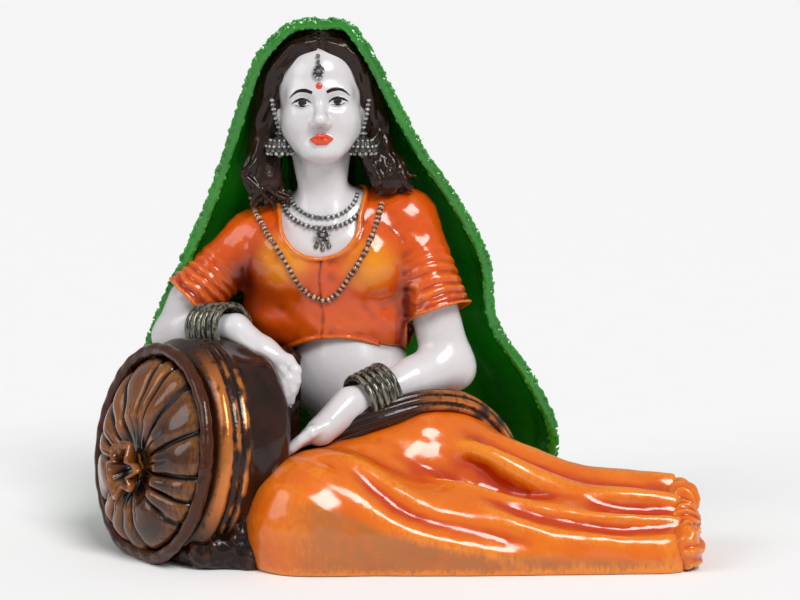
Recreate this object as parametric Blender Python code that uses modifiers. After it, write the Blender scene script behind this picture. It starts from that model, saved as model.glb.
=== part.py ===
"""A cast and hand-painted resin figurine: a lady in Rajasthani dress who sits on the ground with her legs to
one side and rests her right arm on a bolster.

Metres, +Z up, +X to the right as she is looked at, and -Y towards whoever looks at her. The origin is on the
ground, under the middle of the whole figurine. Right and left in names are her own.

Each region that has its own paint is a body of its own, bonded to its neighbours across BOND_GAP. A body is
blended from overlapping balls and limbs, and then carved by everything it lies on.
"""

import math

import bmesh
import bpy
from mathutils import Matrix, Vector
from mathutils.bvhtree import BVHTree

MM = 0.001

# Driving sizes, in millimetres.
FIGURE_WIDTH = 220.0  # nominal, from the bolster's end to the hem
FIGURE_HEIGHT = 189.0  # from the ground to the top of the veil
BOND_GAP = 0.5  # clear glue line between two bonded bodies
BOLSTER_RADIUS = 38.8
BOLSTER_LENGTH = 33.0
BOLSTER_YAW = 55.0  # degrees that its end is turned away from the front
BOLSTER_LEAN = 9.0  # degrees that its end leans back
BOLSTER_SUNK = 1.5  # how far its round side is pressed flat on the ground
CAP_RADIUS = 33.6
CAP_BULGE = 10.0
CAP_PLEATS = 15
KNOT_RADIUS = 10.5
KNOT_DROP = 4.0  # how far the knot sags below the middle of the end
PIPING_RADIUS = 2.4
WRIST_RADIUS = 5.4
BANGLE_WIRE = 1.15  # half the thickness of one bangle
BANGLE_PITCH = 2.65
BANGLE_SLACK = 2.2  # how loose the smallest bangle is on the wrist
BANGLE_WIDENS = 0.22  # how much larger each next bangle is
BANGLE_START = 1.6  # from the wrist to the first bangle
RIGHT_BANGLES = 6
LEFT_BANGLES = 5
CHOKER_WIRE = 1.0
NECKLACE_WIRE = 1.5
NECK_RADIUS = 8.6
VEIL_RIM = 3.2  # thickness of the veil at its open edge
VEIL_BORDER_WIRE = 2.0
JHUMKA_RADIUS = 4.9
BINDI_RADIUS = 1.3

# The places below are written for this width and height, and stretch with the figure.
DRAWN_WIDTH = 220.0
DRAWN_HEIGHT = 189.0
STRETCH_X = FIGURE_WIDTH / DRAWN_WIDTH
STRETCH_Z = FIGURE_HEIGHT / DRAWN_HEIGHT

BOLSTER_TOP = 2 * BOLSTER_RADIUS - BOLSTER_SUNK
BOLSTER_ALONG = Vector((math.sin(math.radians(BOLSTER_YAW)), math.cos(math.radians(BOLSTER_YAW)), 0))
BOLSTER_FACE = Vector((-85.5 * STRETCH_X, -27.0, BOLSTER_RADIUS - BOLSTER_SUNK))

COLOURS = {
    "skin": ((0.86, 0.82, 0.81), 0.28, 0.0),
    "hair": ((0.045, 0.016, 0.009), 0.22, 0.0),
    "orange": ((0.86, 0.17, 0.015), 0.25, 0.0),
    "green": ((0.02, 0.32, 0.02), 0.22, 0.0),
    "brown": ((0.06, 0.018, 0.008), 0.2, 0.0),
    "copper": ((0.42, 0.15, 0.03), 0.3, 0.35),
    "silver": ((0.16, 0.16, 0.14), 0.32, 0.6),
    "bead": ((0.3, 0.12, 0.05), 0.35, 0.4),
    "vermilion": ((0.85, 0.12, 0.02), 0.3, 0.0),
}


def place(x, y, z):
    """A point of the figure, in millimetres, stretched with its width and height."""
    return Vector((x * STRETCH_X, y, z * STRETCH_Z))


# Places on her body.
HEAD = place(-29, 13, 163)
CHIN = place(-29.5, -3, 142.5)
NECK_TOP = place(-29, 10, 144)
NECK_BASE = place(-27, 13, 119)
RIGHT_SHOULDER = place(-53, 15, 109)
LEFT_SHOULDER = place(2, 15, 115.5)
LEFT_CUFF = place(13.5, 5, 83)
CHEST = place(-27, 17, 104)
WAIST = place(-20, 17, 74)
HIPS = place(-8, 12, 36)
RIGHT_ELBOW = Vector((-83 * STRETCH_X, 12, BOLSTER_TOP - 3))
RIGHT_CUFF = RIGHT_ELBOW + Vector((6, -2.5, 13.9))
RIGHT_WRIST = Vector((-59 * STRETCH_X, -10, BOLSTER_TOP + 3.0))
RIGHT_KNUCKLES = Vector((-43.5 * STRETCH_X, -21, BOLSTER_TOP - 10.5))
RIGHT_FINGERTIPS = Vector((-40.5 * STRETCH_X, -24, BOLSTER_TOP - 19.5))
LEFT_ELBOW = place(17.5, 4, 64)
LEFT_WRIST = place(-15.5, -19, 54)
LEFT_KNUCKLES = place(-28, -29, 45.5)
LEFT_FINGERTIPS = place(-39.5, -34, 39)
RIGHT_KNEE = place(-32, -39, 17)
RIGHT_ANKLE = place(90, -44, 9)
LEFT_KNEE = place(48, -14, 17)
LEFT_ANKLE = place(93, -24, 13)

PARTS = bpy.data.collections.new("reclining_lady_figurine")
CUTTERS = bpy.data.collections.new("cutters")

# The mesh of each body as it was before its neighbours were carved out of it, by name.
UNCARVED = {}

# The grown mesh that keeps each body's neighbours clear of it, by name.
ROOMS = {}
ROOM_DETAIL = 1.6  # triangles of such a mesh, as a multiple of its body's own


# ---------------------------------------------------------------- making and carving

def material(name):
    """The paint of this name, made once."""
    found = bpy.data.materials.get(name)
    if found:
        return found
    colour, roughness, metallic = COLOURS[name]
    made = bpy.data.materials.new(name)
    made.use_nodes = True
    shader = made.node_tree.nodes["Principled BSDF"]
    shader.inputs["Base Color"].default_value = (*colour, 1)
    shader.inputs["Roughness"].default_value = roughness
    shader.inputs["Metallic"].default_value = metallic
    return made


def add_object(name, data, paint, collection=PARTS):
    made = bpy.data.objects.new(name, data)
    collection.objects.link(made)
    if paint:
        made.data.materials.clear()
        made.data.materials.append(material(paint))
    return made


def move_to_parts(obj):
    for collection in list(obj.users_collection):
        collection.objects.unlink(obj)
    PARTS.objects.link(obj)


def apply_modifiers(obj):
    """Swaps the object's mesh for the one that its modifiers make."""
    bpy.context.view_layer.update()
    graph = bpy.context.evaluated_depsgraph_get()
    mesh = bpy.data.meshes.new_from_object(obj.evaluated_get(graph))
    obj.modifiers.clear()
    obj.data = mesh


def solid_from_curve(obj):
    """A mesh object in place of a bevelled curve, with its caps welded on."""
    bpy.context.view_layer.update()
    graph = bpy.context.evaluated_depsgraph_get()
    mesh = bpy.data.meshes.new_from_object(obj.evaluated_get(graph))
    work = bmesh.new()
    work.from_mesh(mesh)
    bmesh.ops.remove_doubles(work, verts=work.verts, dist=0.01 * MM)
    bmesh.ops.recalc_face_normals(work, faces=work.faces)
    work.to_mesh(mesh)
    work.free()
    name = obj.name
    bpy.data.objects.remove(obj)
    made = bpy.data.objects.new(name, mesh)
    PARTS.objects.link(made)
    return made


def turned_to(direction):
    """The rotation that takes +Z to this direction."""
    return Vector(direction).to_track_quat("Z", "Y").to_matrix().to_4x4()


def ball(centre, radii, tilt=0.0):
    """A ball with its own radius along each axis, rolled by tilt degrees about Y."""
    def add(work):
        turn = Matrix.Rotation(math.radians(tilt), 4, "Y")
        shape = Matrix.Translation(Vector(centre) * MM) @ turn @ Matrix.Diagonal((*(Vector(radii) * MM), 1))
        bmesh.ops.create_uvsphere(work, u_segments=32, v_segments=16, radius=1, matrix=shape)
    return add


def limb(*stations):
    """Round lengths through (point, radius) stations, with round joints between them."""
    def add(work):
        for (start, thick), (end, thin) in zip(stations, stations[1:]):
            run = Vector(end) - Vector(start)
            middle = (Vector(start) + Vector(end)) / 2 * MM
            bmesh.ops.create_cone(
                work, cap_ends=True, segments=32, radius1=thick * MM, radius2=thin * MM,
                depth=run.length * MM, matrix=Matrix.Translation(middle) @ turned_to(run),
            )
        for centre, radius in stations:
            ball(centre, (radius, radius, radius))(work)
    return add


def sculpt(name, paint, forms, voxel, faces, smoothing=6):
    """One body blended from the forms: a smoothed voxel skin over them all, of about this many triangles."""
    work = bmesh.new()
    for form in forms:
        form(work)
    mesh = bpy.data.meshes.new(name)
    work.to_mesh(mesh)
    work.free()
    made = add_object(name, mesh, None)
    skin = made.modifiers.new("skin", "REMESH")
    skin.mode = "VOXEL"
    skin.voxel_size = voxel * MM
    soften = made.modifiers.new("soften", "SMOOTH")
    soften.factor = 0.5
    soften.iterations = smoothing
    apply_modifiers(made)
    fewer = made.modifiers.new("fewer", "DECIMATE")
    fewer.ratio = min(1.0, faces / (2 * len(made.data.polygons)))
    apply_modifiers(made)
    made.data.materials.clear()
    made.data.materials.append(material(paint))
    made.data.shade_smooth()
    return made


def grown(obj):
    """A hidden copy of the body before it was carved, larger by the glue line, to carve others with."""
    name = "room_for_" + obj.name
    if name in ROOMS:
        room = add_object(name, ROOMS[name], None, CUTTERS)
        room.matrix_world = obj.matrix_world
        return room
    room = add_object(name, UNCARVED.get(obj.name, obj.data).copy(), None, CUTTERS)
    room.matrix_world = obj.matrix_world
    triangles = sum(face.loop_total - 2 for face in room.data.polygons)
    swell = room.modifiers.new("swell", "DISPLACE")
    swell.mid_level = 0
    swell.strength = BOND_GAP * MM
    clean = room.modifiers.new("clean", "REMESH")
    clean.mode = "VOXEL"
    clean.voxel_size = min(0.7 * MM, max(0.25 * MM, room.dimensions.length / 120))
    apply_modifiers(room)
    fewer = room.modifiers.new("fewer", "DECIMATE")
    fewer.ratio = min(1.0, ROOM_DETAIL * triangles / (2 * len(room.data.polygons)))
    apply_modifiers(room)
    ROOMS[name] = room.data
    return room


def boxes_meet(a, b):
    bpy.context.view_layer.update()
    low, high = [], []
    for obj in (a, b):
        corners = [obj.matrix_world @ Vector(corner) for corner in obj.bound_box]
        low.append([min(c[i] for c in corners) for i in range(3)])
        high.append([max(c[i] for c in corners) for i in range(3)])
    return all(low[0][i] < high[1][i] and low[1][i] < high[0][i] for i in range(3))


def keep_largest(obj):
    """Drops the crumbs that a cut leaves beside the body."""
    work = bmesh.new()
    work.from_mesh(obj.data)
    left = set(work.faces)
    islands = []
    while left:
        stack = [left.pop()]
        island = set(stack)
        while stack:
            for edge in stack.pop().edges:
                for face in edge.link_faces:
                    if face in left:
                        left.remove(face)
                        island.add(face)
                        stack.append(face)
        islands.append(island)
    islands.sort(key=lambda faces: sum(face.calc_area() for face in faces))
    crumbs = [face for island in islands[:-1] for face in island]
    bmesh.ops.delete(work, geom=crumbs, context="FACES")
    loose = [vert for vert in work.verts if not vert.link_faces]
    bmesh.ops.delete(work, geom=loose, context="VERTS")
    work.to_mesh(obj.data)
    work.free()


def combine(obj, other, operation):
    cut = obj.modifiers.new(operation.lower(), "BOOLEAN")
    cut.operation = operation
    cut.object = other
    apply_modifiers(obj)


def carve(obj, others):
    """Cuts the others, grown by the glue line, out of the body."""
    UNCARVED.setdefault(obj.name, obj.data.copy())
    for other in others:
        cutter = grown(other)
        if boxes_meet(obj, cutter):
            combine(obj, cutter, "DIFFERENCE")
        bpy.data.objects.remove(cutter)
    keep_largest(obj)


def cutter_box(name, low, high, turn=0.0):
    """A box between two corners, in millimetres, rolled by turn degrees about Y at its middle."""
    centre = (Vector(low) + Vector(high)) / 2 * MM
    size = (Vector(high) - Vector(low)) * MM
    bpy.ops.mesh.primitive_cube_add(size=1, location=centre, rotation=(0, math.radians(turn), 0))
    made = bpy.context.object
    made.name = name
    made.scale = size
    bpy.ops.object.transform_apply(location=False, rotation=False, scale=True)
    return made


def cut_away(obj, *cutters):
    for cutter in cutters:
        if boxes_meet(obj, cutter):
            combine(obj, cutter, "DIFFERENCE")
        bpy.data.objects.remove(cutter)
    keep_largest(obj)


def ground_cutter():
    reach = FIGURE_WIDTH
    return cutter_box("ground", (-reach, -reach, -reach), (reach, reach, 0))


def smooth_points(stations, count):
    """Points along a Catmull-Rom curve through the stations, an equal number in each stretch."""
    ends = [stations[0] * 2 - stations[1], *stations, stations[-1] * 2 - stations[-2]]
    stretches = len(stations) - 1
    made = []
    for i in range(count + 1):
        at = i / count * stretches
        k = min(int(at), stretches - 1)
        t = at - k
        a, b, c, d = ends[k:k + 4]
        made.append(0.5 * (2 * b + (c - a) * t + (2 * a - 5 * b + 4 * c - d) * t ** 2
                           + (3 * b - a - 3 * c + d) * t ** 3))
    return made


def tube(name, paint, points, radius, closed=False, sides=2):
    """A bevelled curve through the points, made a solid."""
    curve = bpy.data.curves.new(name, "CURVE")
    curve.dimensions = "3D"
    curve.bevel_depth = radius * MM
    curve.bevel_resolution = sides
    curve.use_fill_caps = not closed
    line = curve.splines.new("POLY")
    line.points.add(len(points) - 1)
    line.use_cyclic_u = closed
    for spot, point in zip(line.points, points):
        spot.co = (*(Vector(point) * MM), 1)
    made = bpy.data.objects.new(name, curve)
    PARTS.objects.link(made)
    made = solid_from_curve(made)
    made.data.materials.append(material(paint))
    made.data.shade_smooth()
    return made


def laid_on(points, bodies, clearance):
    """The points moved along Y to lie in front of the bodies by the clearance, as a chain lies on cloth."""
    trees = []
    for body in bodies:
        work = bmesh.new()
        work.from_mesh(body.data)
        work.transform(body.matrix_world)
        trees.append(BVHTree.FromBMesh(work))
        work.free()
    laid = []
    for point in points:
        start = Vector((point.x, -FIGURE_WIDTH, point.z)) * MM
        hits = [tree.ray_cast(start, Vector((0, 1, 0)))[0] for tree in trees]
        depths = [hit.y / MM for hit in hits if hit]
        front = min(depths) if depths else point.y
        laid.append(Vector((point.x, front - clearance, point.z)))
    return laid


def turned(name, paint, profile, centre, steps=32):
    """A profile of (radius, height) points, top to bottom, turned about the vertical through the centre."""
    mesh = bpy.data.meshes.new(name)
    mesh.from_pydata([(r * MM, 0, h * MM) for r, h in profile],
                     [(i, i + 1) for i in range(len(profile) - 1)], [])
    made = add_object(name, mesh, None)
    spin = made.modifiers.new("spin", "SCREW")
    spin.steps = spin.render_steps = steps
    spin.use_merge_vertices = True
    spin.merge_threshold = 0.01 * MM
    apply_modifiers(made)
    made.location = Vector(centre) * MM
    made.data.materials.append(material(paint))
    made.data.shade_smooth()
    return made


# ---------------------------------------------------------------- her body

def make_torso():
    """Chest, midriff and hips as one skin body, down to the ground inside the skirt."""
    return sculpt("torso", "skin", [
        ball(CHEST, (27, 16, 22)),
        limb((RIGHT_SHOULDER, 8.5), (CHEST + place(0, 0, 12), 13), (LEFT_SHOULDER, 8.5)),
        ball(CHEST + place(-13, -9, -3), (11, 9, 11)),
        ball(CHEST + place(14, -9, -3), (11, 9, 11)),
        limb((CHEST, 17), (WAIST, 17.5), (HIPS, 21)),
        ball(WAIST + place(0, -2, -16), (23, 17, 18)),
    ], voxel=1.6, faces=600)


def make_head():
    """Face, skull, ears and neck."""
    return sculpt("head", "skin", [
        ball(HEAD, (17, 19, 19)),
        ball((HEAD + CHIN) / 2 + Vector((0, -2.5, 1)), (14.5, 12, 14)),
        ball(CHIN + Vector((0, 3.5, 2.5)), (8, 6.5, 6.5)),
        limb((NECK_TOP, NECK_RADIUS), (NECK_BASE, NECK_RADIUS)),
        limb((HEAD + Vector((0, -15.5, -3)), 1.6), (HEAD + Vector((0, -18.5, -9)), 2.6)),
        ball(HEAD + Vector((-15.5, 3, -7)), (2.5, 3.5, 5.5)),
        ball(HEAD + Vector((15.5, 3, -7)), (2.5, 3.5, 5.5)),
    ], voxel=0.9, faces=700, smoothing=4)


def finger_fan(knuckles, tips, spread, radius, curl):
    """Four fingers side by side from the knuckles to the tips."""
    made = []
    for i in range(4):
        side = spread * (i - 1.5)
        middle = (knuckles + tips) / 2 + side * 1.05 + curl
        made.append(limb((knuckles + side, radius), (middle, radius), (tips + side * 0.9, radius * 0.8)))
    return made


def make_right_arm():
    """Upper arm, forearm along the top of the bolster, and a hand that hangs over its inner side."""
    across = Vector((0.9, 0.2, 0.9)).normalized() * 3.6
    return sculpt("right_arm", "skin", [
        limb((RIGHT_SHOULDER.lerp(RIGHT_CUFF, 0.4), 8), (RIGHT_CUFF, 7.6), (RIGHT_ELBOW, 7.6)),
        limb((RIGHT_ELBOW, 7.6), (RIGHT_WRIST, WRIST_RADIUS)),
        limb((RIGHT_WRIST, WRIST_RADIUS), (RIGHT_KNUCKLES + Vector((-6, 5, 5)), 6.6), (RIGHT_KNUCKLES, 5.6)),
        *finger_fan(RIGHT_KNUCKLES, RIGHT_FINGERTIPS, across, 2.6, Vector((1.5, -2, 1))),
    ], voxel=1.0, faces=600, smoothing=4)


def make_left_arm():
    """Upper arm, forearm across the waist, and a hand flat on the lap."""
    across = Vector((0.55, -0.45, 0.7)).normalized() * 3.4
    return sculpt("left_arm", "skin", [
        limb((LEFT_SHOULDER.lerp(LEFT_CUFF, 0.6), 8.6), (LEFT_ELBOW, 9)),
        limb((LEFT_ELBOW, 8.8), (LEFT_WRIST + place(9, 6, 2), 6.6), (LEFT_WRIST, WRIST_RADIUS)),
        limb((LEFT_WRIST, WRIST_RADIUS), (LEFT_KNUCKLES, 5.4)),
        *finger_fan(LEFT_KNUCKLES, LEFT_FINGERTIPS, across, 2.5, Vector((0, -0.5, 1.5))),
    ], voxel=1.0, faces=600, smoothing=4)


def make_hair(under):
    """Hair parted in the middle, over the ears and down to both shoulders."""
    hair = sculpt("hair", "hair", [
        ball(HEAD + Vector((0, 0, 2.5)), (20, 18, 20)),
        limb((HEAD + Vector((-14, -3, 8)), 5.5), (HEAD + Vector((-19, -2, -12)), 7.5),
             (HEAD + Vector((-20, -2, -32)), 8.5), (HEAD + Vector((-14, -3, -38)), 6)),
        limb((HEAD + Vector((13, -3, 8)), 5.5), (HEAD + Vector((19, -2, -12)), 7.5),
             (HEAD + Vector((22, -2, -28)), 8.5), (HEAD + Vector((30, -2, -32)), 6)),
        limb((HEAD + Vector((0, 9, -5)), 14), (HEAD + Vector((0, 11, -34)), 13)),
    ], voxel=1.4, faces=640)
    face_window = sculpt("face_window", "hair", [
        ball(HEAD + Vector((0, -18, -6)), (14.2, 17, 20)),
        limb((HEAD + Vector((0, -18, -14)), 13), (HEAD + Vector((0, -16, -48)), 12.5)),
    ], voxel=1.6, faces=260)
    combine(hair, face_window, "DIFFERENCE")
    bpy.data.objects.remove(face_window)
    carve(hair, under)
    return hair


def cuff_cutter(name, shoulder, cuff):
    """A box that cuts the sleeve off square to its length at the cuff."""
    run = (cuff - shoulder).normalized()
    wide, deep = 30.0, 24.0
    bpy.ops.mesh.primitive_cube_add(size=1)
    made = bpy.context.object
    made.name = name
    made.data.transform(Matrix.Translation((cuff + run * deep / 2) * MM) @ turned_to(run)
                        @ Matrix.Diagonal((wide * MM, wide * MM, deep * MM, 1)))
    return made


def make_blouse(under):
    """A short cropped blouse with a scooped neck and elbow-length sleeves."""
    blouse = sculpt("blouse", "orange", [
        ball(CHEST + place(0, 0, -1), (30, 19, 25)),
        limb((RIGHT_SHOULDER, 10.5), (CHEST + place(0, 0, 8), 16), (LEFT_SHOULDER, 11.5)),
        ball(CHEST + place(-14.5, -11, -2), (14, 12.5, 14.5)),
        ball(CHEST + place(15.5, -11, -3), (14, 12.5, 14.5)),
        limb((CHEST + place(-6, 0, -5), 20), (WAIST + place(-7, 0, 6), 19)),
        limb((CHEST + place(8, 0, -5), 19), (WAIST + place(5, 0, 6), 19)),
        limb((RIGHT_SHOULDER, 10.5), (RIGHT_CUFF.lerp(RIGHT_SHOULDER, -0.2), 10)),
        limb((RIGHT_SHOULDER + place(6, 0, -6), 12), (WAIST + place(-25, -2, 8), 13)),
        limb((LEFT_SHOULDER, 11.5), (LEFT_CUFF.lerp(LEFT_SHOULDER, -0.2), 12)),
        limb((LEFT_SHOULDER + place(-8, 0, -8), 12), (WAIST + place(17, -2, 8), 13)),
    ], voxel=1.6, faces=840)
    neck_scoop = sculpt("neck_scoop", "orange", [
        limb((NECK_BASE + place(-2, -32, -1), 14.5), (NECK_BASE + place(-2, -10, -1), 14.5),
             (NECK_BASE + place(-2, -4, 14), 18)),
    ], voxel=1.8, faces=240)
    hem_arch = sculpt("hem_arch", "orange", [
        ball(WAIST + place(-3, -10, -17.5), (25, 40, 19)),
        ball(WAIST + place(3, 0, -33), (60, 60, 26)),
    ], voxel=2.5, faces=240)
    left_cuff = cuff_cutter("left_cuff", LEFT_SHOULDER, LEFT_CUFF)
    right_cuff = cuff_cutter("right_cuff", RIGHT_SHOULDER, RIGHT_CUFF)
    for cutter in (neck_scoop, hem_arch):
        combine(blouse, cutter, "DIFFERENCE")
        bpy.data.objects.remove(cutter)
    cut_away(blouse, left_cuff, right_cuff)
    carve(blouse, under)
    return blouse


# ---------------------------------------------------------------- what she rests on and wears below

def on_bolster(along, across=0.0, up=0.0):
    """A point by the bolster: along its axis from its face, across to her side, and up from its axis."""
    side = Vector((BOLSTER_ALONG.y, -BOLSTER_ALONG.x, 0))
    back = math.tan(math.radians(BOLSTER_LEAN)) * up
    return BOLSTER_FACE + BOLSTER_ALONG * (along + back) + side * across + Vector((0, 0, up))


def bolster_frame(along=0.0):
    """The matrix that sets a shape drawn about +Z on the end of the bolster, +Z outwards and +Y up."""
    centre = on_bolster(along)
    axes = (on_bolster(along, across=1) - centre, on_bolster(along, up=1) - centre, -BOLSTER_ALONG)
    turn = Matrix([axis for axis in axes]).transposed().to_4x4()
    return Matrix.Translation(centre * MM) @ turn


def make_bolster(under):
    """The stuffed round body of the bolster, pressed a little flat on the ground."""
    edge = 6.0
    profile = [(0, 0), (CAP_RADIUS - 2, 0)]
    for i in range(4):
        turn = math.radians(90 * i / 3)
        profile.append((BOLSTER_RADIUS - edge + edge * math.sin(turn), -edge + edge * math.cos(turn)))
    for i in range(4):
        turn = math.radians(90 * i / 3)
        profile.append((BOLSTER_RADIUS - edge + edge * math.cos(turn),
                        -BOLSTER_LENGTH + edge - edge * math.sin(turn)))
    profile.append((0, -BOLSTER_LENGTH))
    bolster = turned("bolster_cover", "brown", profile, (0, 0, 0), steps=32)
    bolster.data.transform(bolster_frame())
    cut_away(bolster, ground_cutter())
    carve(bolster, under)
    return bolster


def make_piping(under):
    """The thick dark roll sewn round the end of the bolster."""
    count = 40
    ring = CAP_RADIUS + BOND_GAP + PIPING_RADIUS
    points = []
    for i in range(count):
        turn = 2 * math.pi * i / count
        points.append(on_bolster(-PIPING_RADIUS - BOND_GAP, ring * math.cos(turn), ring * math.sin(turn)))
    piping = tube("bolster_piping", "brown", points, PIPING_RADIUS, closed=True, sides=1)
    carve(piping, under)
    return piping


def make_end_cap(under):
    """The gathered end of the bolster: a low dome of pleats that all run in to the middle."""
    rings = 5
    spokes = CAP_PLEATS * 3
    work = bmesh.new()
    bmesh.ops.create_uvsphere(work, u_segments=spokes, v_segments=2 * rings, radius=1)
    bmesh.ops.bisect_plane(work, geom=work.verts[:] + work.edges[:] + work.faces[:],
                           plane_co=(0, 0, 0), plane_no=(0, 0, -1), clear_outer=True, dist=1e-6)
    bmesh.ops.holes_fill(work, edges=[e for e in work.edges if e.is_boundary])
    for vert in work.verts:
        around = math.atan2(vert.co.y, vert.co.x)
        lobe = abs(math.sin(around * CAP_PLEATS / 2))
        height = vert.co.z
        out = math.hypot(vert.co.x, vert.co.y)
        bulge = CAP_BULGE * height * (0.75 + 0.25 * lobe) if height > 0 else 0
        sag = KNOT_DROP * height
        out *= CAP_RADIUS
        vert.co = Vector((math.cos(around) * out, math.sin(around) * out - sag, bulge)) * MM
    mesh = bpy.data.meshes.new("bolster_end_cap")
    bmesh.ops.recalc_face_normals(work, faces=work.faces)
    work.to_mesh(mesh)
    work.free()
    cap = add_object("bolster_end_cap", mesh, "copper")
    cap.data.transform(bolster_frame(-BOND_GAP))
    cap.data.shade_smooth()
    carve(cap, under)
    return cap


def make_knot(under):
    """The cloth gathered and tied at the middle of the end, as a crimped ring."""
    count = 30
    wall = KNOT_RADIUS * 0.28
    points = []
    for i in range(count + 1):
        turn = 2 * math.pi * i / count
        ring = KNOT_RADIUS * (0.66 + 0.14 * math.cos(5 * turn))
        lift = CAP_BULGE + 1.6 + 1.2 * math.sin(5 * turn)
        points.append(on_bolster(-lift, ring * math.cos(turn), ring * math.sin(turn) - KNOT_DROP))
    knot = sculpt("bolster_knot", "copper", [
        limb(*[(point, wall) for point in points]),
    ], voxel=0.8, faces=360, smoothing=3)
    carve(knot, under)
    return knot


def make_skirt(under):
    """The long skirt over both legs: the near leg folded with its knee to the left, the far leg over it."""
    skirt = sculpt("skirt", "orange", [
        ball(place(5, 2, 24), (36, 30, 30)),
        limb((place(5, -5, 26), 24), (RIGHT_KNEE, 21)),
        limb((RIGHT_KNEE, 21), (place(20, -43, 11), 17), (RIGHT_ANKLE, 12)),
        limb((RIGHT_KNEE - place(0, 0, 10), 21), (place(40, -42, 2), 17.5),
             (RIGHT_ANKLE - place(0, 0, 8), 14)),
        limb((place(9, -4, 30), 24), (place(24, -9, 24), 20), (LEFT_KNEE, 15), (LEFT_ANKLE, 12)),
        limb((LEFT_KNEE - place(0, 0, 8), 17), (LEFT_ANKLE - place(0, -2, 8), 14)),
    ], voxel=2.0, faces=900)
    cut_away(skirt, ground_cutter(),
             cutter_box("hem_end", place(98.5, -80, -10), place(140, 40, 60)))
    carve(skirt, under)
    return skirt


def make_hem(under):
    """The bunched hem that hides her feet, as four gathers side by side."""
    gathers = [(place(100, -14, 17), 8.5), (place(100, -24, 19.5), 7), (place(99.5, -33, 13), 8.5),
               (place(99.5, -45, 7.5), 9), (place(99, -22, 6), 10)]
    hem = sculpt("skirt_hem", "orange", [
        ball(centre, (6.5, radius, radius)) for centre, radius in gathers
    ], voxel=1.2, faces=300, smoothing=3)
    cut_away(hem, ground_cutter())
    carve(hem, under)
    return hem


def make_throw(under):
    """Dark cloth pooled between the bolster and her knee."""
    throw = sculpt("throw_cloth", "brown", [
        limb((on_bolster(8, 10, -33), 6), (on_bolster(9, 24, -31), 7), (place(-53, -42, 5), 8)),
        limb((place(-53, -42, 5), 8), (place(-54, -38, 22), 7), (place(-52, -30, 36), 6)),
    ], voxel=1.8, faces=260)
    cut_away(throw, ground_cutter())
    carve(throw, under)
    return throw


def make_sash(under):
    """The dark sash round her waist and over her left hip."""
    path = [place(-38, -21, 37), place(-22, -24, 44.5), place(-5, -22, 51), place(9, -16, 54),
            place(23, -8, 51), place(33, 0, 42), place(40, 8, 30)]
    points = smooth_points(path, 14)
    sash = sculpt("waist_sash", "brown", [
        limb(*[(point, 4.8) for point in points]),
    ], voxel=1.4, faces=340, smoothing=3)
    carve(sash, under)
    return sash


# ---------------------------------------------------------------- the veil

# Each station of the veil: height, left edge, right edge, and how far its open edge and its back lie along Y.
VEIL_STATIONS = [
    (0, -98, 52, 24, 54),
    (18, -99, 55, 20, 55),
    (36, -99, 57.5, 17, 55),
    (56, -97, 49, 15, 54),
    (78, -90, 35, 14, 53),
    (100, -80, 32, 13, 51),
    (120, -71, 22.5, 11, 49),
    (140, -63.5, 9, 8, 47),
    (158, -57.5, -1, 5, 45),
    (172, -52.5, -8, 3, 43),
    (181, -46, -13.5, 2, 39),
    (186.5, -38.5, -18.5, 3, 32),
    (189, -31.5, -25.5, 8, 22),
]


def veil_section(station, rim, back_share, count):
    """Points along the half oval of one station, from the left edge round the back to the right edge."""
    height, left, right, front, back = station
    middle = (left + right) / 2
    half = (right - left) / 2 - rim
    depth = (back - front) * back_share
    points = []
    for i in range(count + 1):
        turn = math.pi * (1 - i / count)
        ripple = 1 + 0.035 * math.sin(9 * turn) * min(1.0, (DRAWN_HEIGHT - height) / 60) if not rim else 1
        points.append(place(middle + half * math.cos(turn), front + depth * math.sin(turn) * ripple, height))
    return points


def make_veil(under):
    """The veil over her head and down her back to the ground, thin at its open edge and thick behind her."""
    count = 18
    work = bmesh.new()
    loops = []
    for station in VEIL_STATIONS:
        rim, inner_share = VEIL_RIM, 0.62
        if station is VEIL_STATIONS[-1]:  # the hollow closes up under the crown
            rim, inner_share = 0.45 * (station[2] - station[1]), 0.1
        outer = veil_section(station, 0.0, 1.0, count)
        inner = veil_section(station, rim, inner_share, count)
        loops.append([work.verts.new(point * MM) for point in outer + inner[::-1]])
    for below, above in zip(loops, loops[1:]):
        for i in range(len(below)):
            j = (i + 1) % len(below)
            work.faces.new((below[i], below[j], above[j], above[i]))
    for loop in (loops[0], loops[-1]):
        for i in range(count):
            j = len(loop) - 1 - i
            work.faces.new((loop[i], loop[i + 1], loop[j - 1], loop[j]))
    bmesh.ops.recalc_face_normals(work, faces=work.faces)
    mesh = bpy.data.meshes.new("veil")
    work.to_mesh(mesh)
    work.free()
    veil = add_object("veil", mesh, "green")
    veil.data.shade_smooth()
    carve(veil, under)
    return veil


def veil_edge():
    """Points along the open edge of the veil, from its left foot over the head to its right foot."""
    left = [place(s[1] + 1.2, s[3] - 1.6, s[0]) for s in VEIL_STATIONS[2:-1]]
    top = place(-28.5, 3.0, 187.5)
    right = [place(s[2] - 1.2, s[3] - 1.6, s[0]) for s in VEIL_STATIONS[2:-1]]
    return left + [top] + right[::-1]


def make_veil_border(under):
    """The thick worked border along the open edge of the veil."""
    border = tube("veil_border", "green", smooth_points(veil_edge(), 50), VEIL_BORDER_WIRE, sides=1)
    carve(border, under)
    return border


# ---------------------------------------------------------------- jewellery

def bangle_ring(i):
    """The radius to the middle of the wire of bangle i, counted from the wrist: they widen up the arm."""
    return WRIST_RADIUS + BANGLE_SLACK + BANGLE_WIRE + BANGLE_WIDENS * i


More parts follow.
